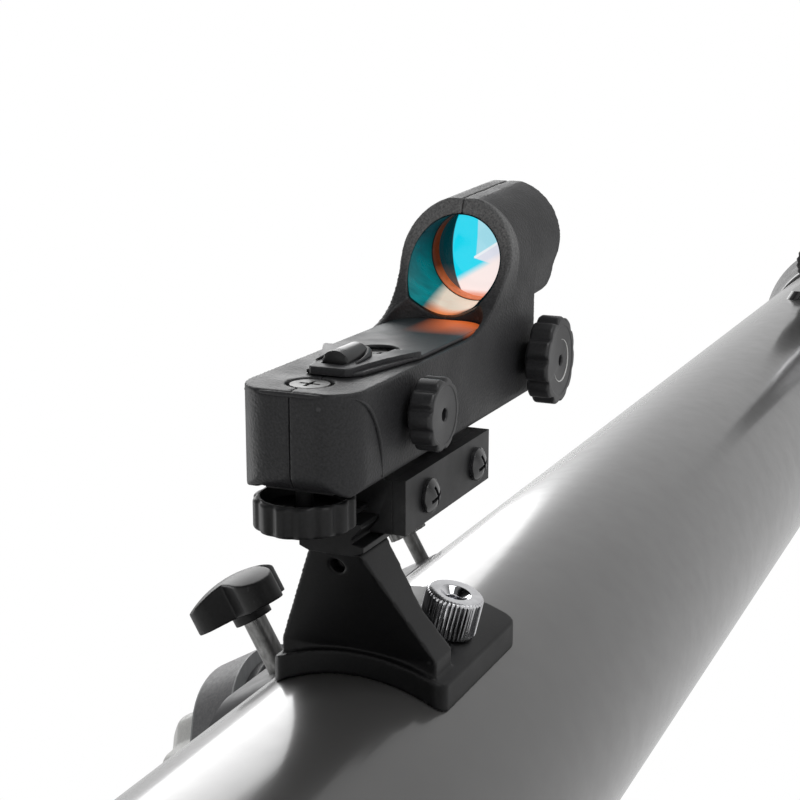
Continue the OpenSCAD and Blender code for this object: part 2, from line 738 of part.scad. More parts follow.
// side outline of the body: rear end, deck, leaning hood face, and the wall ahead of it
module side_outline() {
    polygon(concat(
        arc(5.5, housing_z + 5.5, 5.5, 270, 180, 6),
        [[0, deck_z - 1], [1, deck_z], [face_y - fillet_run, deck_z]],
        arc(face_y - fillet_run, deck_z + fillet_r, fillet_r, -83, face_slope - 90, 9),
        [[face_top_y, face_top_z], [housing_l, face_top_z], [housing_l, housing_z + 3]],
        arc(housing_l - 3, housing_z + 3, 3, 0, -90, 4)));
}

// front outline of the body: straight sides that widen to the hood
module front_outline() {
    rounded(-half_w, half_w, housing_z, deck_z + 4, 3);
    translate([-half_w, deck_z - 5]) square([housing_w, 9]);
    polygon([[-half_w, deck_z + 3.9], [half_w, deck_z + 3.9], [hood_r - 0.1, hood_z],
        [-hood_r + 0.1, hood_z]]);
}

// frame of the hood and window, which point a little up from the housing
hood_pivot = 92;
module hood_frame() {
    translate([0, hood_pivot, window_z]) rotate([hood_pitch, 0, 0])
        translate([0, -hood_pivot, -window_z]) children();
}

// right side of the hood below its round part: it closes in to a soft lower corner
hood_waist = hood_z - 3.9;
hood_side = [[14.7, hood_waist], [13.2, 127.7], [12.5, 124.4], [11.4, 122], [10, 120.6], [8.5, 119.8]];

// round hood with a flat roof and closing sides
module hood_outline() {
    intersection() {
        translate([0, hood_z]) circle(r = hood_r, $fn = 96);
        translate([-20, hood_waist]) square([40, hood_roof - hood_waist]);
    }
    polygon(concat(hood_side, [for (i = [len(hood_side) - 1:-1:0]) [-hood_side[i].x, hood_side[i].y]]));
}

module plan_outline() {
    rounded(-half_w, half_w, 0, 60, 9);
    translate([-half_w - 2, 30]) square([housing_w + 4, 110]);
}

module housing_solid() {
    intersection() {
        draw_x(-20, 20) side_outline();
        draw_y(-1, 135) front_outline();
        translate([0, 0, 90]) linear_extrude(70) plan_outline();
    }
    intersection() {
        hood_frame() draw_y(70, hood_front) hood_outline();
        draw_x(-20, 20) polygon([[face_y, deck_z], [face_top_y, face_top_z], [face_top_y + 1.6,
            face_top_z + 4], [140, 160], [140, 110], [face_y + 8, 110]]);
    }
}

module housing_cavity() {
    box(-half_w + 2.4, half_w - 2.4, 3, housing_l - 3, housing_z + 2.6, deck_z - 2.2);
    box(-9.6, 9.6, 2.6, 86, housing_z - 1, housing_z + 1.4);
    hood_frame() along_y(0, 60, window_z) cylinder(r = window_r, h = 80);
    hood_frame() along_y(0, seat_y, window_z) cylinder(r = seat_r, h = 8.2);
    box(-5.5, 5.5, 27, 40, housing_z - 1, housing_z + 3);
    translate([0, tilt_y, housing_z - 1]) cylinder(r = 3 + gap, h = 6);
    for (y = [9.9, 44]) {
        translate([0, y, deck_z - 1.6]) cylinder(r = 5.2, h = 4);
        translate([0, y, deck_z - 5]) cylinder(r = 1.55, h = 6, $fn = 32);
    }
    translate([0, 27, deck_z - 4]) linear_extrude(6) square([5, 14], center = true);
    translate([0, 0, deck_z]) linear_extrude(10)
        rounded(-lid_half - gap, lid_half + gap, 40, lid_end + gap, lid_corner);
    along_x(4, side_knob_y, side_knob_z) cylinder(r = 2 + gap, h = 12, $fn = 32);
    along_x(4, bright_y, bright_z) cylinder(r = 2 + gap, h = 12, $fn = 32);
}

module housing_half(side) finder_frame() difference() {
    intersection() {
        housing_solid();
        box(side > 0 ? 0.03 : -30, side > 0 ? 30 : -0.03, -10, 140, 80, 160);
    }
    housing_cavity();
}

module housing_left() color("#1f1f21") housing_half(-1);
module housing_right() color("#1f1f21") housing_half(1);

module cover_outline() {
    polygon([[-5, 18], [6.4, 18], [8, 20], [9.6, 28], [lid_half, 42], [lid_half, 60],
        [-lid_half, 60], [-lid_half, 42], [-7.6, 28]]);
    rounded(-lid_half, lid_half, 50, lid_end, lid_corner);
}

// thin inset lid in front of the rear screw
module deck_cover() color("#29292c") finder_frame() translate([0, 0, deck_z]) difference() {
    linear_extrude(1) cover_outline();
    translate([0, 44, -1]) cylinder(r = 5.2, h = 4);
    translate([0, 27, -1]) linear_extrude(4) square([5, 14], center = true);
}

// ribbed switch that slides along the deck
module power_slider() color("#2b2b2e") finder_frame() {
    box(-2.2, 2.2, 22, 29, deck_z - 2, deck_z + 1.2);
    intersection() {
        along_y(0, 20.5, deck_z + 1.1) cylinder(r = 4.2, h = 12);
        box(-6, 6, 20, 33, deck_z + 1.1, deck_z + 6);
    }
}

module housing_screws() color("#a8a8a8") finder_frame() for (y = [9.9, 44]) {
    translate([0, y, deck_z - 1.5]) difference() {
        cylinder(r = 4.4, h = 1.3);
        for (turn = [0, 90]) rotate(turn) translate([-2.4, -0.45, 0.5]) cube([4.8, 0.9, 2]);
    }
    translate([0, y, deck_z - 5]) cylinder(r = 1.5, h = 3.6, $fn = 24);
}

module finder_lens() color("#2fb9c9") finder_frame() hood_frame()
    along_y(0, seat_y + 5, window_z) cylinder(r = seat_r - 0.1, h = 3);

module lens_ring() color("#b5501c") finder_frame() hood_frame()
    along_y(0, seat_y + 0.2, window_z) ring(seat_r - 0.1, window_r - 1.2, 4.7);

module battery() color("#c6c8ca") finder_frame() translate([0, 58, housing_z + 2.7])
    cylinder(r = 10, h = 3.2);

// ---------------------------------------------------------------- drawing

ground_board();
rubber_feet();
glide_pads();
azimuth_bolt();
turntable_board();
side_arm();
arm_gussets();
arm_screws();
altitude_bushing();
friction_washer();
tension_knob();
pivot_shaft();
saddle_body();
clamp_jaw();
clamp_bolt();
star_knob();
rear_clamp_screw();
main_tube();
front_ring();
rear_ring();
dovetail_bar();
dovetail_screws();
mirror_cell();
primary_mirror();
collimation_knob_1();
collimation_knob_2();
collimation_knob_3();
spider();
secondary_holder();
secondary_mirror();
focuser_base();
drawtube();
pinion_shaft();
focus_knobs();
focus_lock_screw();
eyepiece_lock_screw();
eyepiece_barrel();
eyepiece_housing();
eyecup();
eyepiece_lens();
shoe_foot();
shoe_rail();
knurled_nut_right();
knurled_nut_left();
clamp_block();
clamp_plate();
clamp_screws();
tilt_cradle();
tilt_spring();
altitude_knob();
azimuth_knob();
housing_left();
housing_right();
deck_cover();
power_slider();
housing_screws();
brightness_knob();
finder_lens();
lens_ring();
battery();
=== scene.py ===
"""Looks of a single-arm Dobsonian telescope with a red-dot finder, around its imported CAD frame.

Lengths named in millimetres are turned into metres by MM. The finder frame has X across to the
right, Y along the tube from the finder's rear end, and Z out of the tube from the tube's axis.
HOOD is that frame pitched up with the window. TUBE has its origin where the altitude axis crosses
the tube's axis, and Y along the tube.
"""

import json
import math

import bmesh
import bpy
from mathutils import Matrix, Vector


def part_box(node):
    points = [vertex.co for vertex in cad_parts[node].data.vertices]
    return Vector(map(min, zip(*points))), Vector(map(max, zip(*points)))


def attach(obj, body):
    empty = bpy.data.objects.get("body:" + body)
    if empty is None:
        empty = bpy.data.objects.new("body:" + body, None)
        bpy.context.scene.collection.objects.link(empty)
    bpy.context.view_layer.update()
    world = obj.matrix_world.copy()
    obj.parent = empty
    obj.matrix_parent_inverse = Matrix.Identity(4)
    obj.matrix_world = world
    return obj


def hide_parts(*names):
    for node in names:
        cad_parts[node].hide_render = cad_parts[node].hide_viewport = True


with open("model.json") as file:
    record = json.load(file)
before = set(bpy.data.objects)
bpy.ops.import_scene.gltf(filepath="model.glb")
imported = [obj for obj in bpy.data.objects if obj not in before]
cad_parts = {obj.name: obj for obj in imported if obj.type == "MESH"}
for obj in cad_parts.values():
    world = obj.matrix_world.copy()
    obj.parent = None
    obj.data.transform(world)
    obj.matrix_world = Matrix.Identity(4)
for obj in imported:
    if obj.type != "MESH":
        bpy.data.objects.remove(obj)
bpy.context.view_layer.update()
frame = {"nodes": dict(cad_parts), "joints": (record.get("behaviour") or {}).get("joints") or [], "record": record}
nodes = frame["nodes"]
joints = {joint["name"]: joint for joint in frame["joints"]}
scene = bpy.context.scene
MM = 0.001


# ------------------------------------------------------------------ frames


def axes_matrix(x_axis, y_axis, z_axis, origin):
    """A frame whose units are millimetres."""
    turn = Matrix((x_axis, y_axis, z_axis)).transposed().to_4x4()
    return Matrix.Translation(origin) @ turn @ Matrix.Scale(MM, 4)


along = Vector(joints["tube_slide"]["axis"])
across = Vector((1, 0, 0))
altitude_axis = Vector((0, 0, joints["altitude_tilt"]["pos_m"][2]))
finder_x = Vector(joints["finder_tilt"]["axis"])
finder_z = Vector(joints["finder_swivel"]["axis"])
swivel_point = Vector(joints["finder_swivel"]["pos_m"])
SWIVEL_Y = 75       # where the swivel stands in the finder frame
SWIVEL_Z = 100
HOOD_PITCH = 3      # degrees by which the hood and window point up from the housing
HOOD_PIVOT_Y = 92
WINDOW_Z = 134.2    # height of the window's axis
WINDOW_R = 12.4
SEAT_Y = 105.5      # where the lens seat ends at the rear, and the lens ahead of it
LENS_Y = SEAT_Y + 5
SLEEVE_LENGTH = 10  # lining of the bore, rearward from the seat
TUBE = axes_matrix(across, along, across.cross(along), altitude_axis)
FINDER = axes_matrix(
    finder_x, along, finder_z, swivel_point - (along * SWIVEL_Y + finder_z * SWIVEL_Z) * MM
)
HOOD_PIVOT = Matrix.Translation((0, HOOD_PIVOT_Y, WINDOW_Z))
HOOD_TURN = Matrix.Rotation(math.radians(HOOD_PITCH), 4, "X")
HOOD = FINDER @ HOOD_PIVOT @ HOOD_TURN @ HOOD_PIVOT.inverted()
FORWARD = Matrix.Rotation(math.radians(-90), 4, "X")  # a lathe's axis, from Z to Y
SIDEWAYS = Matrix.Rotation(math.radians(90), 4, "Y")  # a lathe's axis, from Z to X


def at(x, y, z):
    return Matrix.Translation((x, y, z))


def arc(start, turn, steps):
    """Evenly spaced angles in radians, from start over a turn, both in degrees."""
    return [math.radians(start + turn * i / steps) for i in range(steps + 1)]


# ------------------------------------------------------------------ the finder's outlines

DECK_Z = 120        # height of the deck
HALF_WIDTH = 14
CORNER_R = 9        # rear corners, seen from above
LID_HALF = 12.4     # lid inset in the deck: half its width, its far end and its corners there
LID_END = 86
LID_CORNER = 8
FACE_Y = 86.0       # where the hood's leaning rear face would meet the deck
FACE_LEAN = 11.2 / 31
FACE_SLOPE = math.atan2(1, FACE_LEAN)
SWEEP_R = 28        # sweep from the deck up into that face
SWEEP_RUN = SWEEP_R * math.tan(FACE_SLOPE / 2)


# ------------------------------------------------------------------ camera

CAMERA_AT = Vector((152.1, -285.3, 193.9))
CAMERA_LOOK = Vector((-0.3953, 0.8898, -0.2282))
CAMERA_UP = Vector((-0.0926, 0.2085, 0.9736))
LENS_MM = 72


def add_camera():
    data = bpy.data.cameras.new("camera")
    data.lens = LENS_MM
    data.sensor_width = 36
    data.clip_start = 0.01
    camera = bpy.data.objects.new("camera", data)
    scene.collection.objects.link(camera)
    turn = FINDER.to_3x3() * (1 / MM)
    back = -(turn @ CAMERA_LOOK).normalized()
    right = (turn @ CAMERA_UP).cross(back).normalized()
    up = back.cross(right)
    rows = Matrix((right, up, back)).transposed().to_4x4()
    camera.matrix_world = Matrix.Translation(FINDER @ CAMERA_AT) @ rows
    scene.camera = camera


add_camera()


# ------------------------------------------------------------------ materials

BLACK = (0.011, 0.011, 0.012)
SOOT = (0.026, 0.026, 0.028)


class Surface:
    """A principled material whose colour, roughness and relief come from procedural noise."""

    def __init__(self, name, metallic=0.0, coat=0.0, coat_roughness=0.05, specular=0.5, sheen=0.0):
        self.material = bpy.data.materials.new(name)
        self.material.use_nodes = True
        self.tree = self.material.node_tree
        self.shader = self.tree.nodes["Principled BSDF"]
        for socket, value in (
            ("Metallic", metallic),
            ("Coat Weight", coat),
            ("Coat Roughness", coat_roughness),
            ("Specular IOR Level", specular),
            ("Sheen Weight", sheen),
        ):
            self.shader.inputs[socket].default_value = value
        self.coords = self.add("ShaderNodeTexCoord").outputs["Object"]
        self.last_bump = None

    def add(self, kind, **settings):
        node = self.tree.nodes.new(kind)
        for key, value in settings.items():
            setattr(node, key, value)
        return node

    def link(self, source, target):
        self.tree.links.new(source, target)

    def math(self, operation, first, second):
        node = self.add("ShaderNodeMath", operation=operation)
        for socket, value in zip(node.inputs, (first, second)):
            if isinstance(value, (int, float)):
                socket.default_value = value
            else:
                self.link(value, socket)
        return node.outputs[0]

    def scaled(self, size_mm, stretch=(1, 1, 1), turn=None):
        """Coordinates in which one unit is size_mm, drawn out along the frame's own axes."""
        source = self.coords
        if turn is not None:
            spin = self.add("ShaderNodeMapping", vector_type="POINT")
            spin.inputs["Rotation"].default_value = turn
            self.link(source, spin.inputs["Vector"])
            source = spin.outputs[0]
        node = self.add("ShaderNodeMapping")
        node.inputs["Scale"].default_value = [1 / (size_mm * MM * s) for s in stretch]
        self.link(source, node.inputs["Vector"])
        return node.outputs[0]

    def noise(self, size_mm, detail=4.0, roughness=0.55, stretch=(1, 1, 1), turn=None):
        node = self.add("ShaderNodeTexNoise")
        node.inputs["Scale"].default_value = 1.0
        node.inputs["Detail"].default_value = detail
        node.inputs["Roughness"].default_value = roughness
        self.link(self.scaled(size_mm, stretch, turn), node.inputs["Vector"])
        return node.outputs["Fac"]

    def pebbles(self, size_mm):
        node = self.add("ShaderNodeTexVoronoi", feature="SMOOTH_F1")
        node.inputs["Scale"].default_value = 1.0
        node.inputs["Smoothness"].default_value = 0.6
        self.link(self.scaled(size_mm), node.inputs["Vector"])
        return node.outputs["Distance"]

    def spread(self, source, low, high, start=0.3, end=0.7):
        """source between start and end, mapped to low to high."""
        node = self.add("ShaderNodeMapRange")
        self.link(source, node.inputs["Value"])
        for key, value in (("From Min", start), ("From Max", end), ("To Min", low), ("To Max", high)):
            node.inputs[key].default_value = value
        return node.outputs[0]

    def mix(self, factor, first, second):
        node = self.add("ShaderNodeMix", data_type="RGBA")
        sockets = {s.identifier: s for s in node.inputs}
        for key, value in (
            ("Factor_Float", factor),
            ("A_Color", first),
            ("B_Color", second),
        ):
            socket = sockets[key]
            if isinstance(value, (int, float)):
                socket.default_value = value
            elif isinstance(value, (tuple, list)):
                socket.default_value = (*value, 1.0)
            else:
                self.link(value, socket)
        return next(s for s in node.outputs if s.identifier == "Result_Color")

    def edges(self):
        """1 on sharp outer edges and 0 on flats."""
        pointy = self.add("ShaderNodeNewGeometry").outputs["Pointiness"]
        return self.spread(pointy, 0.0, 1.0, 0.52, 0.62)

    def colour(self, source):
        self.link(source, self.shader.inputs["Base Color"])

    def roughness(self, source):
        self.link(source, self.shader.inputs["Roughness"])

    def bump(self, source, depth_mm):
        """Relief of a given depth, on top of any laid before it."""
        node = self.add("ShaderNodeBump")
        node.inputs["Distance"].default_value = depth_mm * MM
        node.inputs["Strength"].default_value = 1.0
        self.link(source, node.inputs["Height"])
        if self.last_bump is not None:
            self.link(self.last_bump, node.inputs["Normal"])
        self.last_bump = node.outputs["Normal"]
        self.link(self.last_bump, self.shader.inputs["Normal"])

    def glow(self, source, strength):
        self.link(source, self.shader.inputs["Emission Color"])
        self.shader.inputs["Emission Strength"].default_value = strength

    def place(self, direction, origin, unit=MM):
        """How far along direction a point lies from origin, in units of unit."""
        node = self.add("ShaderNodeVectorMath", operation="SUBTRACT")
        self.link(self.coords, node.inputs[0])
        node.inputs[1].default_value = origin
        dot = self.add("ShaderNodeVectorMath", operation="DOT_PRODUCT")
        self.link(node.outputs[0], dot.inputs[0])
        dot.inputs[1].default_value = Vector(direction) / unit
        return dot.outputs["Value"]


def plastic(name, dark, light, rough, grain_mm, relief_mm, **kind):
    """Moulded plastic: fine grain, soft mottling, paler on worn edges."""
    s = Surface(name, **kind)
    fine = s.noise(grain_mm, detail=3.0)
    broad = s.noise(14.0, detail=3.0)
    tone = s.mix(s.spread(fine, 0.0, 1.0), dark, light)
    tone = s.mix(s.spread(broad, 0.0, 0.35), tone, light)
    worn = s.math("MULTIPLY", s.edges(), s.spread(s.noise(2.5), 0.1, 0.7))
    s.colour(s.mix(worn, tone, [min(1.0, c * 2.2 + 0.02) for c in light]))
    s.roughness(s.spread(broad, rough[0], rough[1]))
    s.bump(s.noise(grain_mm * 0.8, detail=2.0), relief_mm)
    return s.material


def grained_shell(name):
    """Grained black moulding, with painted light on the hood's rear rim: a lighter grey band where its leaning
    face would catch light from above.
    """
    s = Surface(name, specular=0.4)
    fine = s.noise(0.5, detail=3.0)
    broad = s.noise(14.0, detail=3.0)
    tone = s.mix(s.spread(fine, 0.0, 1.0), (0.008, 0.008, 0.009), SOOT)
    tone = s.mix(s.spread(broad, 0.0, 0.35), tone, SOOT)
    # painted light: the top of the hood's rear rim is painted light grey, standing in for light from above on its
    # leaning face
    high = s.spread(s.place(finder_z, FINDER.translation), 0.0, 1.0, 126, 142)
    rear = s.spread(s.place(along, FINDER.translation), 1.0, 0.0, 97.5, 98.5)
    rim = s.math("MULTIPLY", high, rear)
    tone = s.mix(s.math("MULTIPLY", rim, s.spread(fine, 0.3, 1.0)), tone, (0.19, 0.19, 0.19))
    worn = s.math("MULTIPLY", s.edges(), s.spread(s.noise(2.5), 0.1, 0.7))
    s.colour(s.mix(worn, tone, (0.08, 0.08, 0.082)))
    s.roughness(s.spread(broad, 0.42, 0.56))
    s.bump(s.noise(0.4, detail=2.0), 0.05)
    s.bump(s.pebbles(0.7), 0.08)
    return s.material


def metal(name, dark, light, rough, brushed, size_mm=1.2, relief_mm=0.004):
    """Bare or plated metal, with tool marks drawn out along one axis where it is brushed."""
    s = Surface(name, metallic=1.0)
    marks = s.noise(size_mm, detail=5.0, stretch=brushed)
    smudge = s.noise(18.0, detail=2.0)
    s.colour(s.mix(s.spread(marks, 0.0, 1.0), dark, light))
    s.roughness(s.spread(smudge, rough[0], rough[1]))
    s.bump(marks, relief_mm)
    return s.material


def paint(name, dark, light, rough, peel_mm=2.2, relief_mm=0.002, coat=0.0, **kind):
    """Sprayed paint with a faint orange peel."""
    s = Surface(name, coat=coat, **kind)
    broad = s.noise(40.0, detail=2.0)
    s.colour(s.mix(s.spread(broad, 0.0, 1.0), dark, light))
    s.roughness(s.spread(s.noise(9.0), rough[0], rough[1]))
    s.bump(s.noise(peel_mm, detail=2.0), relief_mm)
    return s.material


def tube_paint(name):
    """Gloss grey paint with faint ripples drawn out along the tube."""
    s = Surface(name, coat=1.0, coat_roughness=0.14)
    lean = (-math.atan2(along.z, along.y), 0, 0)
    ripple = s.noise(1.4, detail=3.0, stretch=(1, 14, 1), turn=lean)
    broad = s.noise(60.0, detail=2.0)
    s.colour(s.mix(s.spread(broad, 0.0, 1.0), (0.062, 0.061, 0.06), (0.074, 0.073, 0.072)))
    s.roughness(s.spread(s.noise(9.0), 0.3, 0.38))
    s.bump(ripple, 0.012)
    s.link(s.last_bump, s.shader.inputs["Coat Normal"])
    return s.material


def laminate(name, dark, light, rough, edge, flat_axis, flat_at, flat_to):
    """Faced board: a pressed grain on the faces, and a paler chip core where an edge shows."""
    s = Surface(name)
    grain = s.noise(1.1, detail=6.0, stretch=(1, 1, 7))
    pores = s.noise(0.5, detail=3.0, stretch=(1, 1, 5))
    face = s.mix(s.spread(grain, 0.0, 1.0), dark, light)
    height = s.place(flat_axis, (0, 0, 0))
    inside = s.math(
        "MULTIPLY",
        s.math("GREATER_THAN", height, flat_at + 0.8),
        s.math("LESS_THAN", height, flat_to - 0.8),
    )
    band = s.mix(s.spread(s.noise(0.9, detail=5.0), 0.0, 1.0), edge, [c * 0.6 for c in edge])
    s.colour(s.mix(inside, face, band))
    s.roughness(s.spread(grain, rough[0], rough[1]))
    s.bump(pores, 0.02)
    return s.material


def rubber(name, tone=0.016):
    s = Surface(name, specular=0.3, sheen=0.1)
    fine = s.noise(0.7, detail=4.0)
    s.colour(s.mix(s.spread(fine, 0.0, 1.0), (tone,) * 3, (tone * 2,) * 3))
    s.roughness(s.spread(s.noise(6.0), 0.65, 0.85))
    s.bump(fine, 0.03)
    return s.material


def mirror_glass(name):
    s = Surface(name, metallic=1.0, coat=0.3)
    dust = s.noise(0.8, detail=8.0, roughness=0.7)
    s.colour(s.mix(s.spread(dust, 0.0, 1.0), (0.86, 0.88, 0.9), (0.93, 0.95, 0.96)))
    s.roughness(s.spread(dust, 0.02, 0.06, 0.55, 0.8))
    return s.material


def coated_glass(name, tint):
    s = Surface(name, coat=0.6)
    s.shader.inputs["Transmission Weight"].default_value = 0.92
    s.shader.inputs["IOR"].default_value = 1.5
    veil = s.noise(5.0, detail=3.0)
    s.colour(s.mix(s.spread(veil, 0.0, 1.0), tint, [min(1.0, c * 1.15) for c in tint]))
    s.roughness(s.spread(veil, 0.01, 0.05))
    return s.material


def window_angle(s):
    """Place across and up the finder's window, as shares of its radius."""
    centre = HOOD @ Vector((0, LENS_Y, WINDOW_Z))
    right = s.place(finder_x, centre, WINDOW_R * MM)
    up = s.place(finder_z, centre, WINDOW_R * MM)
    return right, up


def above(s, right, up, slope, height, soft=0.012):
    """1 above the line up = height + slope * right, 0 below it."""
    lift = s.math("SUBTRACT", up, s.math("MULTIPLY", right, slope))
    return s.spread(lift, 0.0, 1.0, height - soft, height + soft)


def dichroic(name):
    """Cyan beamsplitter glass, glowing though it is no lamp, with painted reflections as whitish wedges, a painted
    peach glow at its foot and painted shade at its left edge.
    """
    s = Surface(name, coat=0.25)
    right, up = window_angle(s)
    veil = s.noise(3.0, detail=2.0)
    cyan = s.mix(s.spread(veil, 0.0, 0.1), (0.0, 0.72, 0.93), (0.02, 0.76, 0.94))
    # painted reflections: whitish wedges and a brighter streak where the real glass mirrors the room
    painted_gleam = above(s, up, right, 0.1, -0.155)
    tone = s.mix(painted_gleam, cyan, (0.38, 0.76, 0.88))
    ahead = s.spread(right, 0.0, 1.0, -0.22, -0.2)
    gleam_wedge = s.math("MULTIPLY", ahead, above(s, right, up, 0.65, -0.02))
    low = s.math("SUBTRACT", ahead, gleam_wedge)
    tone = s.mix(low, tone, (0.76, 0.78, 0.88))
    gleam_ray = s.math("SUBTRACT", above(s, right, up, 0.65, -0.05), above(s, right, up, 0.65, 0.01))
    tone = s.mix(s.math("MULTIPLY", gleam_ray, ahead), tone, (0.88, 0.93, 0.97))
    under = s.math("SUBTRACT", 1.0, above(s, right, up, -0.26, -0.215))
    tone = s.mix(under, tone, cyan)
    # painted glow: a pink blush low on the right and peach at the foot, where the amber seat would reflect
    painted_blush = s.math("SUBTRACT", 1.0, above(s, right, up, 0.6, -0.3, 0.09))
    tone = s.mix(painted_blush, tone, (1.0, 0.88, 0.86))
    foot = s.math("SUBTRACT", 1.0, s.spread(up, 0.0, 1.0, -0.93, -0.84))
    tone = s.mix(foot, tone, (0.86, 0.42, 0.32))
    # painted shade: a dark crescent at the left edge, where the bore's wall would shadow the glass
    offset = s.math("SUBTRACT", right, 1.25)
    reach = s.math("ADD", s.math("MULTIPLY", offset, offset), s.math("MULTIPLY", up, up))
    shade = s.spread(reach, 0.0, 1.0, 3.70, 3.76)
    dark = s.mix(s.spread(up, 1.0, 0.0, -0.8, -0.3), (0.0, 0.026, 0.034), (0.1, 0.08, 0.075))
    tone = s.mix(shade, tone, dark)
    s.colour(s.mix(0.7, tone, (0, 0, 0)))
    s.roughness(s.spread(veil, 0.03, 0.08))
    # painted glow: the glass emits its painted colours though it is no lamp
    s.glow(tone, 0.85)
    return s.material


def bore_lining(name):
    """Polished bore with painted reflections of the coated lens, teal on its left and peach at its foot, glowing
    though it is no lamp.
    """
    s = Surface(name, specular=0.2)
    right, up = window_angle(s)
    lean = (along - finder_z * FACE_LEAN).normalized()
    depth = s.place(lean, FINDER @ Vector((0, FACE_Y, DECK_Z)))
    streak = s.noise(2.2, detail=3.0, stretch=(1, 4, 1))
    # painted reflection: teal from the lens on the left of the bore
    left = s.spread(right, 1.0, 0.0, -0.7, -0.2)
    teal = s.mix(s.spread(up, 1.0, 0.0, -0.8, 0.5), (0.0, 0.012, 0.017), (0.0, 0.19, 0.2))
    tone = s.mix(left, (0.004, 0.006, 0.007), teal)
    # painted glow: peach near the mouth, at the bore's foot
    painted_peach = s.mix(s.spread(depth, 1.0, 0.0, 0.6, 6.0), (0.88, 0.7, 0.55), (0.95, 0.27, 0.08))
    foot = s.math("SUBTRACT", s.math("MULTIPLY", depth, 0.012), up)
    foot = s.math("SUBTRACT", foot, s.math("MULTIPLY", right, 0.1))
    painted_peach = s.mix(s.spread(streak, 0.0, 0.12), painted_peach, (0.3, 0.2, 0.14))
    tone = s.mix(s.spread(streak, 0.0, 0.5), tone, (0.0, 0.02, 0.026))
    tone = s.mix(s.spread(foot, 0.0, 1.0, 0.93, 1.06), tone, painted_peach)
    s.colour(s.mix(0.6, tone, (0, 0, 0)))
    s.roughness(s.spread(streak, 0.25, 0.4))
    # painted glow: the bore emits its painted colours though it is no lamp
    s.glow(tone, 0.75)
    return s.material


def amber_ring(name):
    """Lens seat with painted light from the coating: burnt orange at its left, salmon at its foot, black above,
    glowing though it is no lamp.
    """
    s = Surface(name, specular=0.15)
    right, up = window_angle(s)
    grain = s.noise(1.5, detail=3.0)
    # painted light: orange strongest low on the seat, fading to black above
    glow = s.mix(s.spread(up, 1.0, 0.0, -0.9, -0.3), (0.09, 0.016, 0.002), (0.85, 0.2, 0.06))
    side = s.spread(s.math("ADD", right, s.math("MULTIPLY", up, 0.9)), 1.0, 0.0, -0.5, 0.3)
    tone = s.mix(side, (0.008, 0.006, 0.006), glow)
    tone = s.mix(s.spread(grain, 0.0, 0.3), tone, (0.05, 0.012, 0.004))
    s.colour(s.mix(0.5, tone, (0, 0, 0)))
    s.roughness(s.spread(grain, 0.3, 0.45))
    # painted glow: the seat emits its painted colours though it is no lamp
    s.glow(tone, 0.7)
    return s.material


def dressed_cover(name):
    """Satin lid with painted light near the window: a painted orange glow, which also emits though the lid is no
    lamp, and a painted teal tint from the lens.
    """
    s = Surface(name, specular=0.35)
    ahead = s.place(along, FINDER.translation)
    right = s.place(finder_x, FINDER.translation)
    fine = s.noise(0.5, detail=3.0)
    tone = s.mix(s.spread(fine, 0.0, 1.0), (0.018, 0.018, 0.02), (0.035, 0.035, 0.038))
    # painted light: orange ahead of the lid's middle and teal to its left, where the lens would throw light
    glow = s.math("MULTIPLY", s.spread(ahead, 0.0, 1.0, 66, 82), s.spread(right, 0.0, 1.0, -5, 4))
    teal = s.math("MULTIPLY", s.spread(ahead, 0.0, 1.0, 50, 66), s.spread(right, 1.0, 0.0, -14, 8))
    tone = s.mix(s.math("MULTIPLY", teal, 0.4), tone, (0.004, 0.03, 0.036))
    tone = s.mix(glow, tone, (0.95, 0.2, 0.045))
    s.colour(tone)
    # painted glow: the orange patch emits light though the lid is no lamp
    s.glow(s.mix(glow, (0, 0, 0), (0.5, 0.09, 0.015)), 0.6)
    s.roughness(s.spread(s.noise(8.0), 0.42, 0.55))
    s.bump(fine, 0.006)
    return s.material


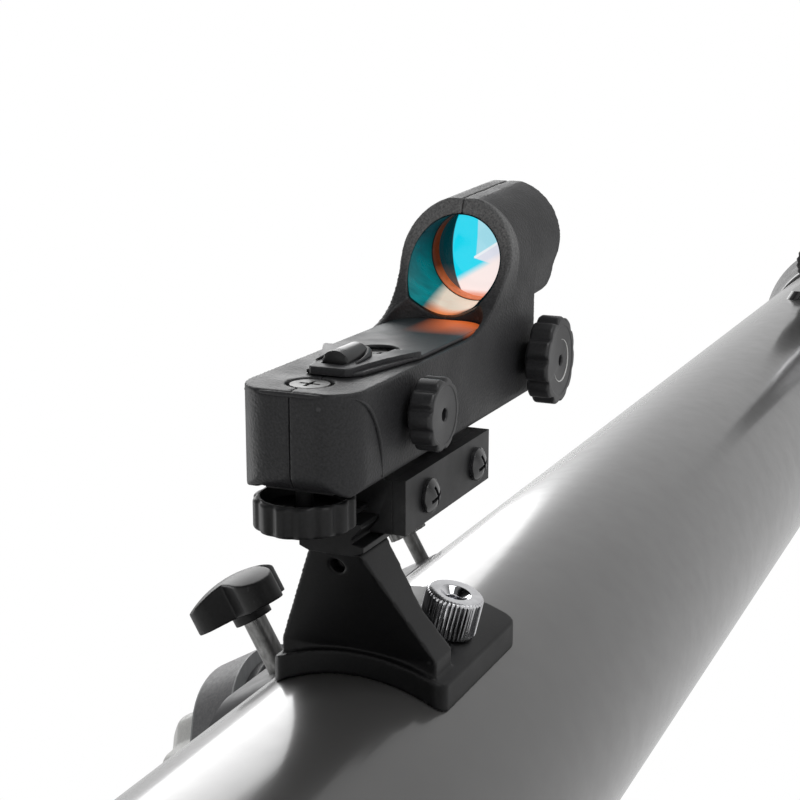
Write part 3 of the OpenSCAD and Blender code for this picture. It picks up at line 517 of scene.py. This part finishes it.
EVEN = (1, 1, 1)    # no brushing
MATERIALS = {
    "abs": grained_shell("abs_grained"),
    "wheel": plastic("wheel_black", BLACK, (0.03, 0.03, 0.032), (0.3, 0.45), 0.4, 0.01),
    "gloss": plastic("gloss_black", (0.009, 0.009, 0.01), (0.016, 0.016, 0.017), (0.12, 0.2),
                     1.2, 0.002, coat=0.5),
    # the lid carries a painted glow and painted teal light near the window
    "cover": dressed_cover("deck_lid"),
    "screw_black": paint("black_screw", (0.008, 0.008, 0.008), SOOT, (0.12, 0.25), 0.7, 0.002,
                         coat=0.7),
    "tube": tube_paint("tube_paint"),
    "ring": paint("ring_paint", BLACK, SOOT, (0.15, 0.25), coat=0.6),
    "flat": plastic("flat_black", (0.006, 0.006, 0.006), (0.012, 0.012, 0.012), (0.75, 0.9), 0.8,
                    0.03, specular=0.2),
    "saddle": paint("saddle_coat", (0.06, 0.06, 0.064), (0.085, 0.085, 0.09), (0.38, 0.5), 0.8,
                    0.02),
    "jaw": paint("jaw_coat", (0.07, 0.07, 0.073), (0.1, 0.1, 0.103), (0.35, 0.5), 0.7, 0.015),
    "pale_knob": plastic("pale_knob", (0.5, 0.5, 0.49), (0.64, 0.64, 0.62), (0.3, 0.42), 0.7, 0.012),
    "rod": metal("dark_rod", (0.15, 0.15, 0.148), (0.27, 0.268, 0.265), (0.24, 0.36), (1, 1, 6)),
    "steel": metal("plain_steel", (0.42, 0.42, 0.42), (0.62, 0.62, 0.61), (0.22, 0.4), (1, 1, 5)),
    "nickel": metal("nickel_screw", (0.4, 0.4, 0.4), (0.62, 0.62, 0.62), (0.2, 0.32), (6, 1, 1)),
    "chrome": metal("bright_chrome", (0.68, 0.68, 0.7), (0.82, 0.82, 0.84), (0.06, 0.14), EVEN, 2.0,
                    0.001),
    "spring": metal("spring_wire", (0.12, 0.12, 0.125), (0.3, 0.3, 0.3), (0.25, 0.4), EVEN, 0.6),
    "knurl": metal("knurled_metal", (0.3, 0.3, 0.3), (0.45, 0.45, 0.45), (0.25, 0.4), (1, 4, 1)),
    "ptfe": plastic("ptfe", (0.7, 0.7, 0.68), (0.82, 0.82, 0.8), (0.4, 0.55), 1.0, 0.006),
    "acetal": plastic("acetal", (0.03, 0.03, 0.032), (0.05, 0.05, 0.053), (0.35, 0.45), 0.8, 0.006),
    "rubber": rubber("foot_rubber"),
    "eyecup": rubber("cup_rubber", 0.012),
    "mirror": mirror_glass("silvered_glass"),
    "glass": coated_glass("green_coated", (0.55, 0.85, 0.78)),
    # lens, bore and amber carry painted reflections, painted shade and painted glow
    "lens": dichroic("dichroic_lens"),
    "bore": bore_lining("bore_lining"),
    "amber": amber_ring("amber_ring"),
    "shoe": plastic("shoe_black", (0.003, 0.003, 0.0035), (0.007, 0.007, 0.0075), (0.32, 0.42), 0.6,
                    0.008, specular=0.22),
    "grip": plastic("grip_black", (0.006, 0.006, 0.006), (0.011, 0.011, 0.012), (0.34, 0.45), 0.8,
                    0.004, specular=0.3),
    "clamp": plastic("clamp_black", (0.005, 0.005, 0.0055), (0.012, 0.012, 0.013), (0.36, 0.46), 0.6,
                     0.006, specular=0.3),
    "switch": plastic("switch_black", (0.012, 0.012, 0.012), (0.022, 0.022, 0.023), (0.3, 0.38), 0.7,
                      0.004),
    "dull_screw": metal("dull_screw", (0.1, 0.1, 0.1), (0.2, 0.2, 0.2), (0.4, 0.55), (6, 1, 1)),
}


def board_material(node, dark, light, edge, index):
    """Laminate for a board whose thickness runs along one axis of the row frame."""
    low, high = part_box(node)
    axis = Vector((0, 0, 0))
    axis[index] = 1
    MATERIALS[node] = laminate(
        node, dark, light, (0.36, 0.55), edge, axis, low[index] / MM, high[index] / MM
    )


# Board colours: dark and light grain of the faces, and the edge
GREY = ((0.2, 0.205, 0.21), (0.25, 0.255, 0.26), (0.12, 0.12, 0.125))
DARK = ((0.018, 0.018, 0.02), (0.032, 0.032, 0.035), (0.012, 0.012, 0.013))
NOWHERE = (1000, 1001)      # a span past the object, so that no chip core shows
board_material("ground_board", *DARK, 2)
board_material("turntable_board", *DARK, 2)
board_material("side_arm", *GREY, 0)
MATERIALS["gusset"] = laminate(
    "gusset", GREY[0], GREY[1], (0.36, 0.55), GREY[2], (0, 1, 0), *NOWHERE
)


def dress(name, key):
    """Gives a CAD node a material in every slot."""
    mesh = nodes[name].data
    if not mesh.materials:
        mesh.materials.append(MATERIALS[key])
    for index in range(len(mesh.materials)):
        mesh.materials[index] = MATERIALS[key]


def round_edges(name, width_mm):
    """Breaks a CAD node's hard edges with modifiers, which leave its own mesh alone."""
    node = nodes[name]
    weld = node.modifiers.new("weld", "WELD")
    weld.merge_threshold = 0.002 * MM
    flat = node.modifiers.new("flat", "DECIMATE")
    flat.decimate_type = "DISSOLVE"
    flat.angle_limit = math.radians(0.5)
    bevel = node.modifiers.new("edges", "BEVEL")
    bevel.width = width_mm * MM
    bevel.segments = 2
    bevel.limit_method = "ANGLE"
    bevel.angle_limit = math.radians(38)
    bevel.harden_normals = False
    bevel.use_clamp_overlap = True
    node.data.polygons.foreach_set("use_smooth", [True] * len(node.data.polygons))
    crisp = node.modifiers.new("normals", "WEIGHTED_NORMAL")
    crisp.keep_sharp = True
    crisp.weight = 90


CAD_FINISH = {
    "ground_board": ("ground_board", 1.0),
    "rubber_feet": ("rubber", 1.5),
    "glide_pads": ("ptfe", 0.4),
    "azimuth_bolt": ("steel", 0.3),
    "turntable_board": ("turntable_board", 1.0),
    "side_arm": ("side_arm", 1.0),
    "arm_gussets": ("gusset", 1.0),
    "arm_screws": ("steel", 0.3),
    "altitude_bushing": ("acetal", 0.5),
    "friction_washer": ("ptfe", 0.2),
    "pivot_shaft": ("steel", 0.5),
    "saddle_body": ("saddle", 0.8),
    "clamp_jaw": ("jaw", 0.5),
    "clamp_bolt": ("rod", 0.3),
    "rear_clamp_screw": ("rod", 0.2),
    "rear_ring": ("ring", 0.8),
    "dovetail_bar": ("ring", 0.5),
    "dovetail_screws": ("steel", 0.2),
    "mirror_cell": ("flat", 0.4),
    "primary_mirror": ("mirror", 0.3),
    "collimation_knob_1": ("knurl", 0.2),
    "collimation_knob_2": ("knurl", 0.2),
    "collimation_knob_3": ("knurl", 0.2),
    "spider": ("flat", 0.15),
    "secondary_holder": ("flat", 0.3),
    "secondary_mirror": ("mirror", 0.1),
    "focuser_base": ("gloss", 0.6),
    "drawtube": ("chrome", 0.2),
    "pinion_shaft": ("steel", 0.1),
    "focus_lock_screw": ("chrome", 0.15),
    "eyepiece_lock_screw": ("chrome", 0.15),
    "eyepiece_barrel": ("chrome", 0.15),
    "eyepiece_housing": ("ring", 0.2),
    "eyecup": ("eyecup", 0.3),
    "eyepiece_lens": ("glass", 0.2),
    "shoe_rail": ("shoe", 0.25),
    "clamp_block": ("clamp", 0.35),
    "clamp_plate": ("clamp", 0.5),
    "clamp_screws": ("screw_black", 0.2),
    "tilt_cradle": ("clamp", 0.15),
    "tilt_spring": ("spring", 0.0),
    "housing_screws": ("dull_screw", 0.1),
    "battery": ("nickel", 0.2),
}


def dress_cad():
    for name, (key, width) in CAD_FINISH.items():
        dress(name, key)
        if width > 0:
            round_edges(name, width)


# ------------------------------------------------------------------ mesh building


def owner(node):
    """The body that carries a CAD node."""
    bodies = frame["record"]["behaviour"]["bodies"]
    return next(body for body, members in bodies.items() if node in members)


def finish_piece(piece, body, key, replaced=()):
    piece.data.materials.clear()
    for material in [key] if isinstance(key, str) else key:
        piece.data.materials.append(MATERIALS[material])
    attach(piece, body)
    if replaced:
        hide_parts(*replaced)
    return piece


def object_from(name, build, matrix):
    """A smooth-shaded object from a bmesh in millimetres, moved by matrix."""
    build.transform(matrix)
    bmesh.ops.recalc_face_normals(build, faces=build.faces)
    mesh = bpy.data.meshes.new(name)
    build.to_mesh(mesh)
    build.free()
    mesh.polygons.foreach_set("use_smooth", [True] * len(mesh.polygons))
    mesh.set_sharp_from_angle(angle=math.radians(40))
    piece = bpy.data.objects.new(name, mesh)
    scene.collection.objects.link(piece)
    return piece


def settle(piece):
    """Applies a piece's modifiers to its mesh."""
    depsgraph = bpy.context.evaluated_depsgraph_get()
    mesh = bpy.data.meshes.new_from_object(piece.evaluated_get(depsgraph))
    piece.modifiers.clear()
    piece.data = mesh
    return piece


def soften(node, name, voxel_mm, rounds, key):
    """A CAD solid as a moulding: the same shape, remeshed finely, with its edges melted round."""
    piece = bpy.data.objects.new(name, nodes[node].data.copy())
    scene.collection.objects.link(piece)
    remesh = piece.modifiers.new("remesh", "REMESH")
    remesh.mode = "VOXEL"
    remesh.voxel_size = voxel_mm * MM
    smooth = piece.modifiers.new("melt", "SMOOTH")
    smooth.factor = 0.5
    smooth.iterations = rounds
    settle(piece)
    piece.data.polygons.foreach_set("use_smooth", [True] * len(piece.data.polygons))
    return finish_piece(piece, owner(node), key, (node,))


def rounded_profile(points, radius):
    """The corners of an open profile of (r, z) points, each replaced by a short curve."""
    steps = 4
    out = [points[0]]
    for before, corner, after in zip(points, points[1:], points[2:]):
        a, b, c = (Vector(p) for p in (before, corner, after))
        reach = min(radius, (a - b).length * 0.45, (c - b).length * 0.45)
        start = b + (a - b).normalized() * reach
        end = b + (c - b).normalized() * reach
        for i in range(steps + 1):
            t = i / steps
            out.append(tuple(start * (1 - t) ** 2 + b * 2 * t * (1 - t) + end * t * t))
    out.append(points[-1])
    return out


def lathe(name, profile, matrix, segments=96, flutes=0, depth=0.0, outer=None, power=1.0):
    """A profile of (r, z) points turned about Z.

    The flutes fade in between the two radii of outer, and a higher power makes them narrower.
    """
    build = bmesh.new()
    rings = []
    for r, z in profile:
        if r < 1e-6:
            rings.append([build.verts.new((0, 0, z))])
            continue
        share = 0.0 if outer is None else max(0.0, min(1.0, (r - outer[0]) / (outer[1] - outer[0])))
        ring = []
        for i in range(segments):
            turn = 2 * math.pi * i / segments
            dip = (0.5 + 0.5 * math.cos(flutes * turn)) ** power if flutes else 0.0
            radius = r - depth * dip * share
            ring.append(build.verts.new((radius * math.cos(turn), radius * math.sin(turn), z)))
        rings.append(ring)
    for low, high in zip(rings, rings[1:]):
        for i in range(segments):
            j = (i + 1) % segments
            corners = [low[i % len(low)], low[j % len(low)], high[j % len(high)], high[i % len(high)]]
            unique = list(dict.fromkeys(corners))
            if len(unique) > 2:
                build.faces.new(unique)
    return object_from(name, build, matrix)


def prism(name, outline, z0, z1, matrix, edge):
    """An outline in X and Y raised from z0 to z1, with its rim rounded by edge."""
    build = bmesh.new()
    low = [build.verts.new((x, y, z0)) for x, y in outline]
    high = [build.verts.new((x, y, z1)) for x, y in outline]
    build.faces.new(list(reversed(low)))
    top = build.faces.new(high)
    for i in range(len(outline)):
        j = (i + 1) % len(outline)
        build.faces.new((low[i], low[j], high[j], high[i]))
    bmesh.ops.bevel(
        build, geom=list(top.edges), offset=edge, segments=3, profile=0.5, affect="EDGES"
    )
    return object_from(name, build, matrix)


def tube_along(name, path, radius, matrix, sides=12, flatten=1.0):
    """A round or flattened bead that follows a path of points and tapers at its ends."""
    build = bmesh.new()
    count = len(path)
    points = [Vector(p) for p in path]
    rings = []
    for i, point in enumerate(points):
        tangent = points[min(i + 1, count - 1)] - points[max(i - 1, 0)]
        size = radius * min(1.0, 0.12 + 3.0 * min(i, count - 1 - i) / count)
        tangent.normalize()
        side = tangent.cross(Vector((0, 0, 1)))
        if side.length < 0.1:
            side = tangent.cross(Vector((1, 0, 0)))
        side.normalize()
        lift = side.cross(tangent)
        ring = []
        for k in range(sides):
            turn = 2 * math.pi * k / sides
            offset = side * math.cos(turn) * size + lift * math.sin(turn) * size * flatten
            ring.append(build.verts.new(point + offset))
        rings.append(ring)
    for low, high in zip(rings, rings[1:]):
        for k in range(sides):
            m = (k + 1) % sides
            build.faces.new((low[k], low[m], high[m], high[k]))
    build.faces.new(list(reversed(rings[0])))
    build.faces.new(rings[-1])
    return object_from(name, build, matrix)


def curve_points(controls, count=24):
    """Points of a Bezier curve of any order."""
    degree = len(controls) - 1
    out = []
    for i in range(count):
        t = i / (count - 1)
        point = Vector((0, 0, 0))
        for k, control in enumerate(controls):
            weight = math.comb(degree, k) * (1 - t) ** (degree - k) * t**k
            point += Vector(control) * weight
        out.append(tuple(point))
    return out


# ------------------------------------------------------------------ the finder


def corner_y(x):
    """Where the rounded rear end lies at a place across it."""
    over = max(0.0, abs(x) - HALF_WIDTH + CORNER_R)
    return CORNER_R - math.sqrt(CORNER_R**2 - over**2)


def flank_x(y):
    """How far out the rounded flank lies at a place along it."""
    short = max(0.0, CORNER_R - y)
    return HALF_WIDTH - CORNER_R + math.sqrt(CORNER_R**2 - short**2)


def finder_shell():
    soften("housing_left", "shell_left", 0.42, 4, "abs")
    soften("housing_right", "shell_right", 0.42, 4, "abs")
    for side in (-1, 1):
        rib = curve_points([(0, y, z) for y, z in ((4, 119), (11, 116.5), (15.5, 110), (16.5, 99))])
        path = [(side * (flank_x(y) - 0.1), y, z) for _, y, z in rib]
        name = "side_rib_right" if side > 0 else "side_rib_left"
        bead = tube_along(name, path, 0.75, FINDER, flatten=0.8)
        finish_piece(bead, "finder_body", "abs")
    lip = [(x, corner_y(x) + 0.5, DECK_Z - 0.7) for x in range(-12, 13)]
    bead = tube_along("deck_lip", lip, 0.55, FINDER)
    finish_piece(bead, "finder_body", "abs")


def finder_deck():
    soften("deck_cover", "deck_lid", 0.3, 3, "cover")
    plate = [(-4.0, 17.4), (-3.2, 16.6), (5.0, 16.6), (6.2, 18.0), (6.8, 24), (8.4, 31), (10.2, 36.5),
             (12.2, 40.5), (12.2, 41.5), (5.6, 41.5), (5.6, 34.6), (3.1, 34.6), (3.1, 20), (-3.1, 20),
             (-3.1, 34.6), (-5.6, 34.6), (-5.6, 41.5), (-12.2, 41.5), (-12.2, 40.5), (-7.4, 30),
             (-4.8, 24)]
    raised = prism("switch_plate", plate, DECK_Z + 0.3, DECK_Z + 2.0, FINDER, 0.35)
    finish_piece(raised, "finder_body", "cover")
    collar = [(-4.9, 22.5, DECK_Z + 2.2), (-4.9, 35, DECK_Z + 2.4), (0, 39.5, DECK_Z + 2.6),
              (4.9, 35, DECK_Z + 2.4), (4.9, 22.5, DECK_Z + 2.2)]
    horseshoe = tube_along("switch_collar", curve_points(collar, 30), 1.0, FINDER, flatten=1.2)
    finish_piece(horseshoe, "finder_body", "cover")
    line = rounded_end(LID_HALF - 0.4, 49, LID_END - 0.4, LID_CORNER - 0.4, DECK_Z + 0.95)
    border = tube_along("lid_border", line, 0.25, FINDER, sides=8)
    finish_piece(border, "finder_body", "flat")
    hump = [(3.3 * math.cos(a), 3.1 * math.sin(a)) for a in arc(-8, 196, 20)]
    turned = FINDER @ at(0, 33, DECK_Z + 1.6) @ Matrix.Rotation(math.radians(90), 4, "X")
    slider = prism("switch_hump", hump, 0, 11, turned, 0.5)
    finish_piece(slider, "power_slider", "switch", ("power_slider",))
    for index in range(3):
        ridge = [(3.1 * math.cos(a), 22.6 + index * 0.9, DECK_Z + 1.6 + 2.95 * math.sin(a))
                 for a in arc(12, 156, 12)]
        bar = tube_along("switch_ridge_%d" % index, ridge, 0.2, FINDER, sides=8)
        finish_piece(bar, "power_slider", "switch")


def rounded_end(half, start, end, radius, z):
    """An open path up one side, round a far end with soft corners, and back down the other."""
    bend = [(half - radius + radius * math.cos(a), end - radius + radius * math.sin(a), z)
            for a in arc(0, 90, 8)]
    side = [(half, start, z)] + bend
    return side + [(-x, y, z) for x, y, z in reversed(side)]


def mouth_y(x, z):
    """Where the window's bore opens: on the leaning face, its sweep, or the wall at the lid's end."""
    rise = DECK_Z + SWEEP_R - z
    sweep = FACE_Y - SWEEP_RUN + math.sqrt(max(0.0, SWEEP_R**2 - rise**2))
    on_face = z > DECK_Z + SWEEP_RUN * math.sin(FACE_SLOPE)
    over = min(LID_CORNER, max(0.0, abs(x) - LID_HALF + LID_CORNER))
    wall = LID_END - LID_CORNER + math.sqrt(LID_CORNER**2 - over**2)
    return FACE_Y + FACE_LEAN * (z - DECK_Z) if on_face else max(sweep, wall)


def finder_window():
    bowl = [(0, 1.4), (4, 1.2), (8, 0.6), (11, 0.15), (12.2, 0.1), (12.7, 0.5), (12.7, 2.4),
            (8, 2.8), (0, 3.0)]
    glass = lathe("window_glass", bowl, HOOD @ at(0, LENS_Y, WINDOW_Z) @ FORWARD)
    finish_piece(glass, "finder_body", "lens", ("finder_lens",))
    seat = rounded_profile([(12.8, 0.0), (11.95, 0.0), (12.0, 4.6), (12.8, 4.6), (12.8, 0.0)], 0.3)
    ring = lathe("window_ring", seat, HOOD @ at(0, SEAT_Y + 0.2, WINDOW_Z) @ FORWARD)
    finish_piece(ring, "finder_body", "amber", ("lens_ring",))
    lip = [(12.36, 0), (12.05, 0), (12.05, 0.35), (12.36, 0.35), (12.36, 0)]
    seal = lathe("window_seal", lip, HOOD @ at(0, SEAT_Y - 0.2, WINDOW_Z) @ FORWARD)
    finish_piece(seal, "finder_body", "flat")
    sleeve = [(12.36, 0), (12.36, SLEEVE_LENGTH), (12.2, SLEEVE_LENGTH), (12.2, 0), (12.36, 0)]
    lining = lathe("window_bore", sleeve, HOOD @ at(0, SEAT_Y - SLEEVE_LENGTH, WINDOW_Z) @ FORWARD)
    home = FINDER.inverted()
    for corner in lining.data.vertices:
        place = home @ corner.co
        if place.y < SEAT_Y - SLEEVE_LENGTH / 2:
            place.y = mouth_y(place.x, place.z) + 0.3
            corner.co = FINDER @ place
    finish_piece(lining, "finder_body", "bore")


AZIMUTH_KNOB = (33.5, 109.8)      # Y and Z of each knob in the finder frame
BRIGHTNESS_KNOB = (110.5, 107.6)
ALTITUDE_KNOB = (6.8, 89.2)


def wheel_profile(radius, thick, neck):
    """Half section of a side knob: neck, rounded rim, dished face and a small centre hole."""
    hole = 1.4
    dish = 0.15
    top = neck + thick
    return rounded_profile(
        [(4.2, 0), (4.2, neck), (radius - 0.5, neck), (radius, neck + 0.5), (radius, top - 0.6),
         (radius - 0.6, top), (radius * 0.8, top), (radius * 0.78, top - dish), (hole, top - dish),
         (hole, top - 2.4), (0, top - 2.4)], 0.5)


def finder_knobs():
    skin = HALF_WIDTH + 0.1
    near = FINDER @ at(skin, *AZIMUTH_KNOB) @ SIDEWAYS
    piece = lathe("azimuth_wheel", wheel_profile(8.4, 5.8, 1.6), near, segments=200, flutes=10,
                  depth=0.85, outer=(7.2, 8.4), power=3.0)
    finish_piece(piece, "azimuth_knob", "wheel", ("azimuth_knob",))
    far = FINDER @ at(skin, *BRIGHTNESS_KNOB) @ SIDEWAYS
    piece = lathe("brightness_wheel", wheel_profile(11.7, 6.2, 2.6), far, segments=220, flutes=11,
                  depth=1.1, outer=(10.2, 11.7), power=3.0)
    finish_piece(piece, "brightness_knob", "wheel", ("brightness_knob",))
    mark = [(5.6 * math.cos(a), 5.6 * math.sin(a), 8.66) for a in arc(-60, 240, 30)]
    groove = tube_along("brightness_mark", mark, 0.22, far, sides=8)
    finish_piece(groove, "brightness_knob", "pale_knob")
    rim = rounded_profile([(2.4, -1.8), (3.7, -1.8), (3.7, -1.3), (2.85, -1.3), (2.85, 0), (10.6, 0),
                           (11.2, 0.6), (11.2, 6.4), (10.6, 7), (9.5, 7), (9, 4.2), (2.4, 4),
                           (2.4, -1.8)], 0.4)
    under = FINDER @ at(0, *ALTITUDE_KNOB)
    piece = lathe("altitude_wheel", rim, under, segments=224, flutes=14, depth=0.7,
                  outer=(9.9, 11.2), power=2.0)
    finish_piece(piece, "altitude_knob", "grip", ("altitude_knob",))


def spring_coil():
    """Six turns of wire under the housing."""
    wire = [(3.4 * math.cos(a), 50 + 3.4 * math.sin(a), 89.1 + 6.9 * i / 159)
            for i, a in enumerate(arc(0, 6 * 360, 159))]
    coil = tube_along("spring_coil", wire, 0.45, FINDER, sides=10)
    finish_piece(coil, "finder_clamp", "spring", ("tilt_spring",))


# ------------------------------------------------------------------ shoe, nuts and clamp rods

NUT_LEAN = 13.9     # degrees round the tube from the finder, on each side
NUT_Y = 57.3
FLANGE_R = 51       # radius of the shoe flange's outer face about the tube's axis


def shoe():
    soften("shoe_foot", "shoe_casting", 0.42, 4, "shoe")
    nut = rounded_profile([(2.0, 0), (6.9, 0), (7.3, 0.5), (7.3, 9.4), (6.8, 10.0), (3.8, 10.0),
                           (2.1, 8.3), (2.1, 5), (0, 5)], 0.25)
    for side, name in ((1, "nut_right"), (-1, "nut_left")):
        lean = Matrix.Rotation(math.radians(side * NUT_LEAN), 4, "Y")
        place = FINDER @ lean @ at(0, NUT_Y, FLANGE_R + 0.1)
        piece = lathe("knurled_" + name, nut, place, segments=336, flutes=42, depth=0.45,
                      outer=(6.6, 7.3), power=0.8)
        finish_piece(piece, name, "chrome", ("knurled_" + name,))


def star():
    soften("star_knob", "star_grip", 0.3, 8, "grip")


# ------------------------------------------------------------------ tube and rings

TUBE_REAR = -325
TUBE_FRONT = 610
FOCUSER_Y = 475
FOCUSER_LEAN = 60   # degrees round the tube from its top


def tube_shell():
    """The long painted tube, gloss outside and flat black within."""
    outside, inside = 45.0, 43.5
    length = TUBE_FRONT - TUBE_REAR
    profile = [(inside, 0), (inside + 0.3, 0), (outside - 0.3, 0), (outside, 0.3)]
    profile += [(outside, length * i / 24) for i in range(1, 24)]
    profile += [(outside, length - 0.3), (outside - 0.3, length), (inside, length)]
    profile += [(inside, length * (24 - i) / 24) for i in range(1, 25)]
    piece = lathe("tube_shell", profile, TUBE @ at(0, TUBE_REAR, 0) @ FORWARD, segments=256)
    bpy.context.view_layer.update()
    cut = lathe("focuser_cut", [(0, 20), (20.5, 20), (20.5, 80), (0, 80)],
                TUBE @ at(0, FOCUSER_Y, 0) @ Matrix.Rotation(math.radians(FOCUSER_LEAN), 4, "Y"))
    hole = piece.modifiers.new("hole", "BOOLEAN")
    hole.operation = "DIFFERENCE"
    hole.object = cut
    hole.solver = "EXACT"
    settle(piece)
    bpy.data.objects.remove(cut)
    finish_piece(piece, "ota", ["tube", "flat"], ("main_tube",))
    for face in piece.data.polygons:
        spoke = face.center - altitude_axis
        spoke -= along * spoke.dot(along)
        face.material_index = 1 if spoke.length < (outside - 0.6) * MM else 0
        face.use_smooth = True
    piece.data.set_sharp_from_angle(angle=math.radians(50))


def rings():
    flare = [(42.5, 0.1), (42.5, 17), (46, 19), (51.5, 19)]
    flare += [(51.5 + 3.5 * math.sin(a), 15.5 + 3.5 * math.cos(a)) for a in arc(0, 100, 10)[1:]]
    flare += [(51, 3), (48, -6), (47, -15.6), (46.6, -16), (45.1, -16), (45.1, 0.1), (42.5, 0.1)]
    piece = lathe("dew_ring", flare, TUBE @ at(0, TUBE_FRONT, 0) @ FORWARD, segments=192)
    finish_piece(piece, "ota", "ring", ("front_ring",))


# ------------------------------------------------------------------ base


def base_knob():
    grip = rounded_profile([(10.1, 0.2), (15, 0.2), (15, 4), (24, 4), (27, 7), (27, 18), (24, 21.5),
                            (16, 22), (14, 20.5), (0, 20.5)], 1.2)
    turned = at(-120, 0, altitude_axis.z / MM) @ Matrix.Rotation(math.radians(-90), 4, "Y")
    piece = lathe("tension_grip", grip, Matrix.Scale(MM, 4) @ turned, segments=216, flutes=6,
                  depth=4.5, outer=(15, 27), power=1.6)
    finish_piece(piece, "tension_knob", "pale_knob", ("tension_knob",))


def focus_wheels():
    rim = rounded_profile([(2.1, 0.3), (13.2, 0.3), (14, 1.1), (14, 15), (13.2, 15.8), (10.5, 15.8),
                           (10.0, 14.8), (0, 14.8)], 0.6)
    shaft = Vector(joints["pinion_turn"]["pos_m"])
    for side in (-1, 1):
        turn = FORWARD if side > 0 else FORWARD @ Matrix.Rotation(math.pi, 4, "X")
        place = Matrix.Translation(shaft) @ TUBE.to_3x3().to_4x4() @ at(0, side * 22.4, 0) @ turn
        name = "focus_wheel_" + ("front" if side > 0 else "rear")
        piece = lathe(name, rim, place, segments=240, flutes=24, depth=0.7, outer=(12.8, 14),
                      power=1.2)
        replaced = ("focus_knobs",) if side > 0 else ()
        finish_piece(piece, "pinion", "wheel", replaced)


# ------------------------------------------------------------------ stage and light

FLOOR_HALF = 25.0   # metres


def stage():
    build = bmesh.new()
    bmesh.ops.create_grid(build, x_segments=2, y_segments=2, size=FLOOR_HALF)
    floor = object_from("floor", build, at(0, 0, -0.5 * MM))
    s = Surface("pale_floor")
    s.colour(s.mix(s.spread(s.noise(60.0), 0.0, 1.0), (0.86, 0.86, 0.855), (0.9, 0.9, 0.895)))
    s.roughness(s.spread(s.noise(25.0), 0.6, 0.75))
    floor.data.materials.append(s.material)


def lamp(name, place, target, size, power):
    data = bpy.data.lights.new(name, "AREA")
    data.shape = "RECTANGLE"
    data.size, data.size_y = size
    data.energy = power
    light = bpy.data.objects.new(name, data)
    scene.collection.objects.link(light)
    light.location = place
    light.rotation_euler = (Vector(target) - Vector(place)).to_track_quat("-Z", "Y").to_euler()


def studio():
    """White backdrop ahead of the tube and overhead, falling to a dim room behind the viewer."""
    world = bpy.data.worlds.new("studio")
    scene.world = world
    world.use_nodes = True
    tree = world.node_tree
    tree.nodes.clear()
    out = tree.nodes.new("ShaderNodeOutputWorld")
    seen = tree.nodes.new("ShaderNodeBackground")
    seen.inputs["Color"].default_value = (1, 1, 1, 1)
    lit = tree.nodes.new("ShaderNodeBackground")
    coords = tree.nodes.new("ShaderNodeTexCoord")
    dot = tree.nodes.new("ShaderNodeVectorMath")
    dot.operation = "DOT_PRODUCT"
    dot.inputs[1].default_value = Vector((-0.35, 0.8, 0.5)).normalized()
    ramp = tree.nodes.new("ShaderNodeMapRange")
    ramp.interpolation_type = "SMOOTHSTEP"
    for key, value in (("From Min", -0.5), ("From Max", 0.6), ("To Min", 0.16), ("To Max", 0.85)):
        ramp.inputs[key].default_value = value
    paths = tree.nodes.new("ShaderNodeLightPath")
    mix = tree.nodes.new("ShaderNodeMixShader")
    tree.links.new(coords.outputs["Generated"], dot.inputs[0])
    tree.links.new(dot.outputs["Value"], ramp.inputs["Value"])
    tree.links.new(ramp.outputs[0], lit.inputs["Strength"])
    tree.links.new(paths.outputs["Is Camera Ray"], mix.inputs["Fac"])
    tree.links.new(lit.outputs[0], mix.inputs[1])
    tree.links.new(seen.outputs[0], mix.inputs[2])
    tree.links.new(mix.outputs[0], out.inputs["Surface"])
    scene.view_settings.view_transform = "Standard"
    lamp("overhead", (-0.5, 0.3, 1.7), (0, 0, 0.45), (1.0, 1.0), 9)
    lamp("right_side", (1.4, -0.5, 0.9), (0, -0.1, 0.45), (0.8, 1.0), 6)
    lamp("left_side", (-1.5, -0.4, 0.8), (0, -0.1, 0.45), (0.6, 1.0), 5)


dress_cad()
finder_shell()
finder_deck()
finder_window()
finder_knobs()
spring_coil()
shoe()
star()
tube_shell()
rings()
base_knob()
focus_wheels()
stage()
studio()
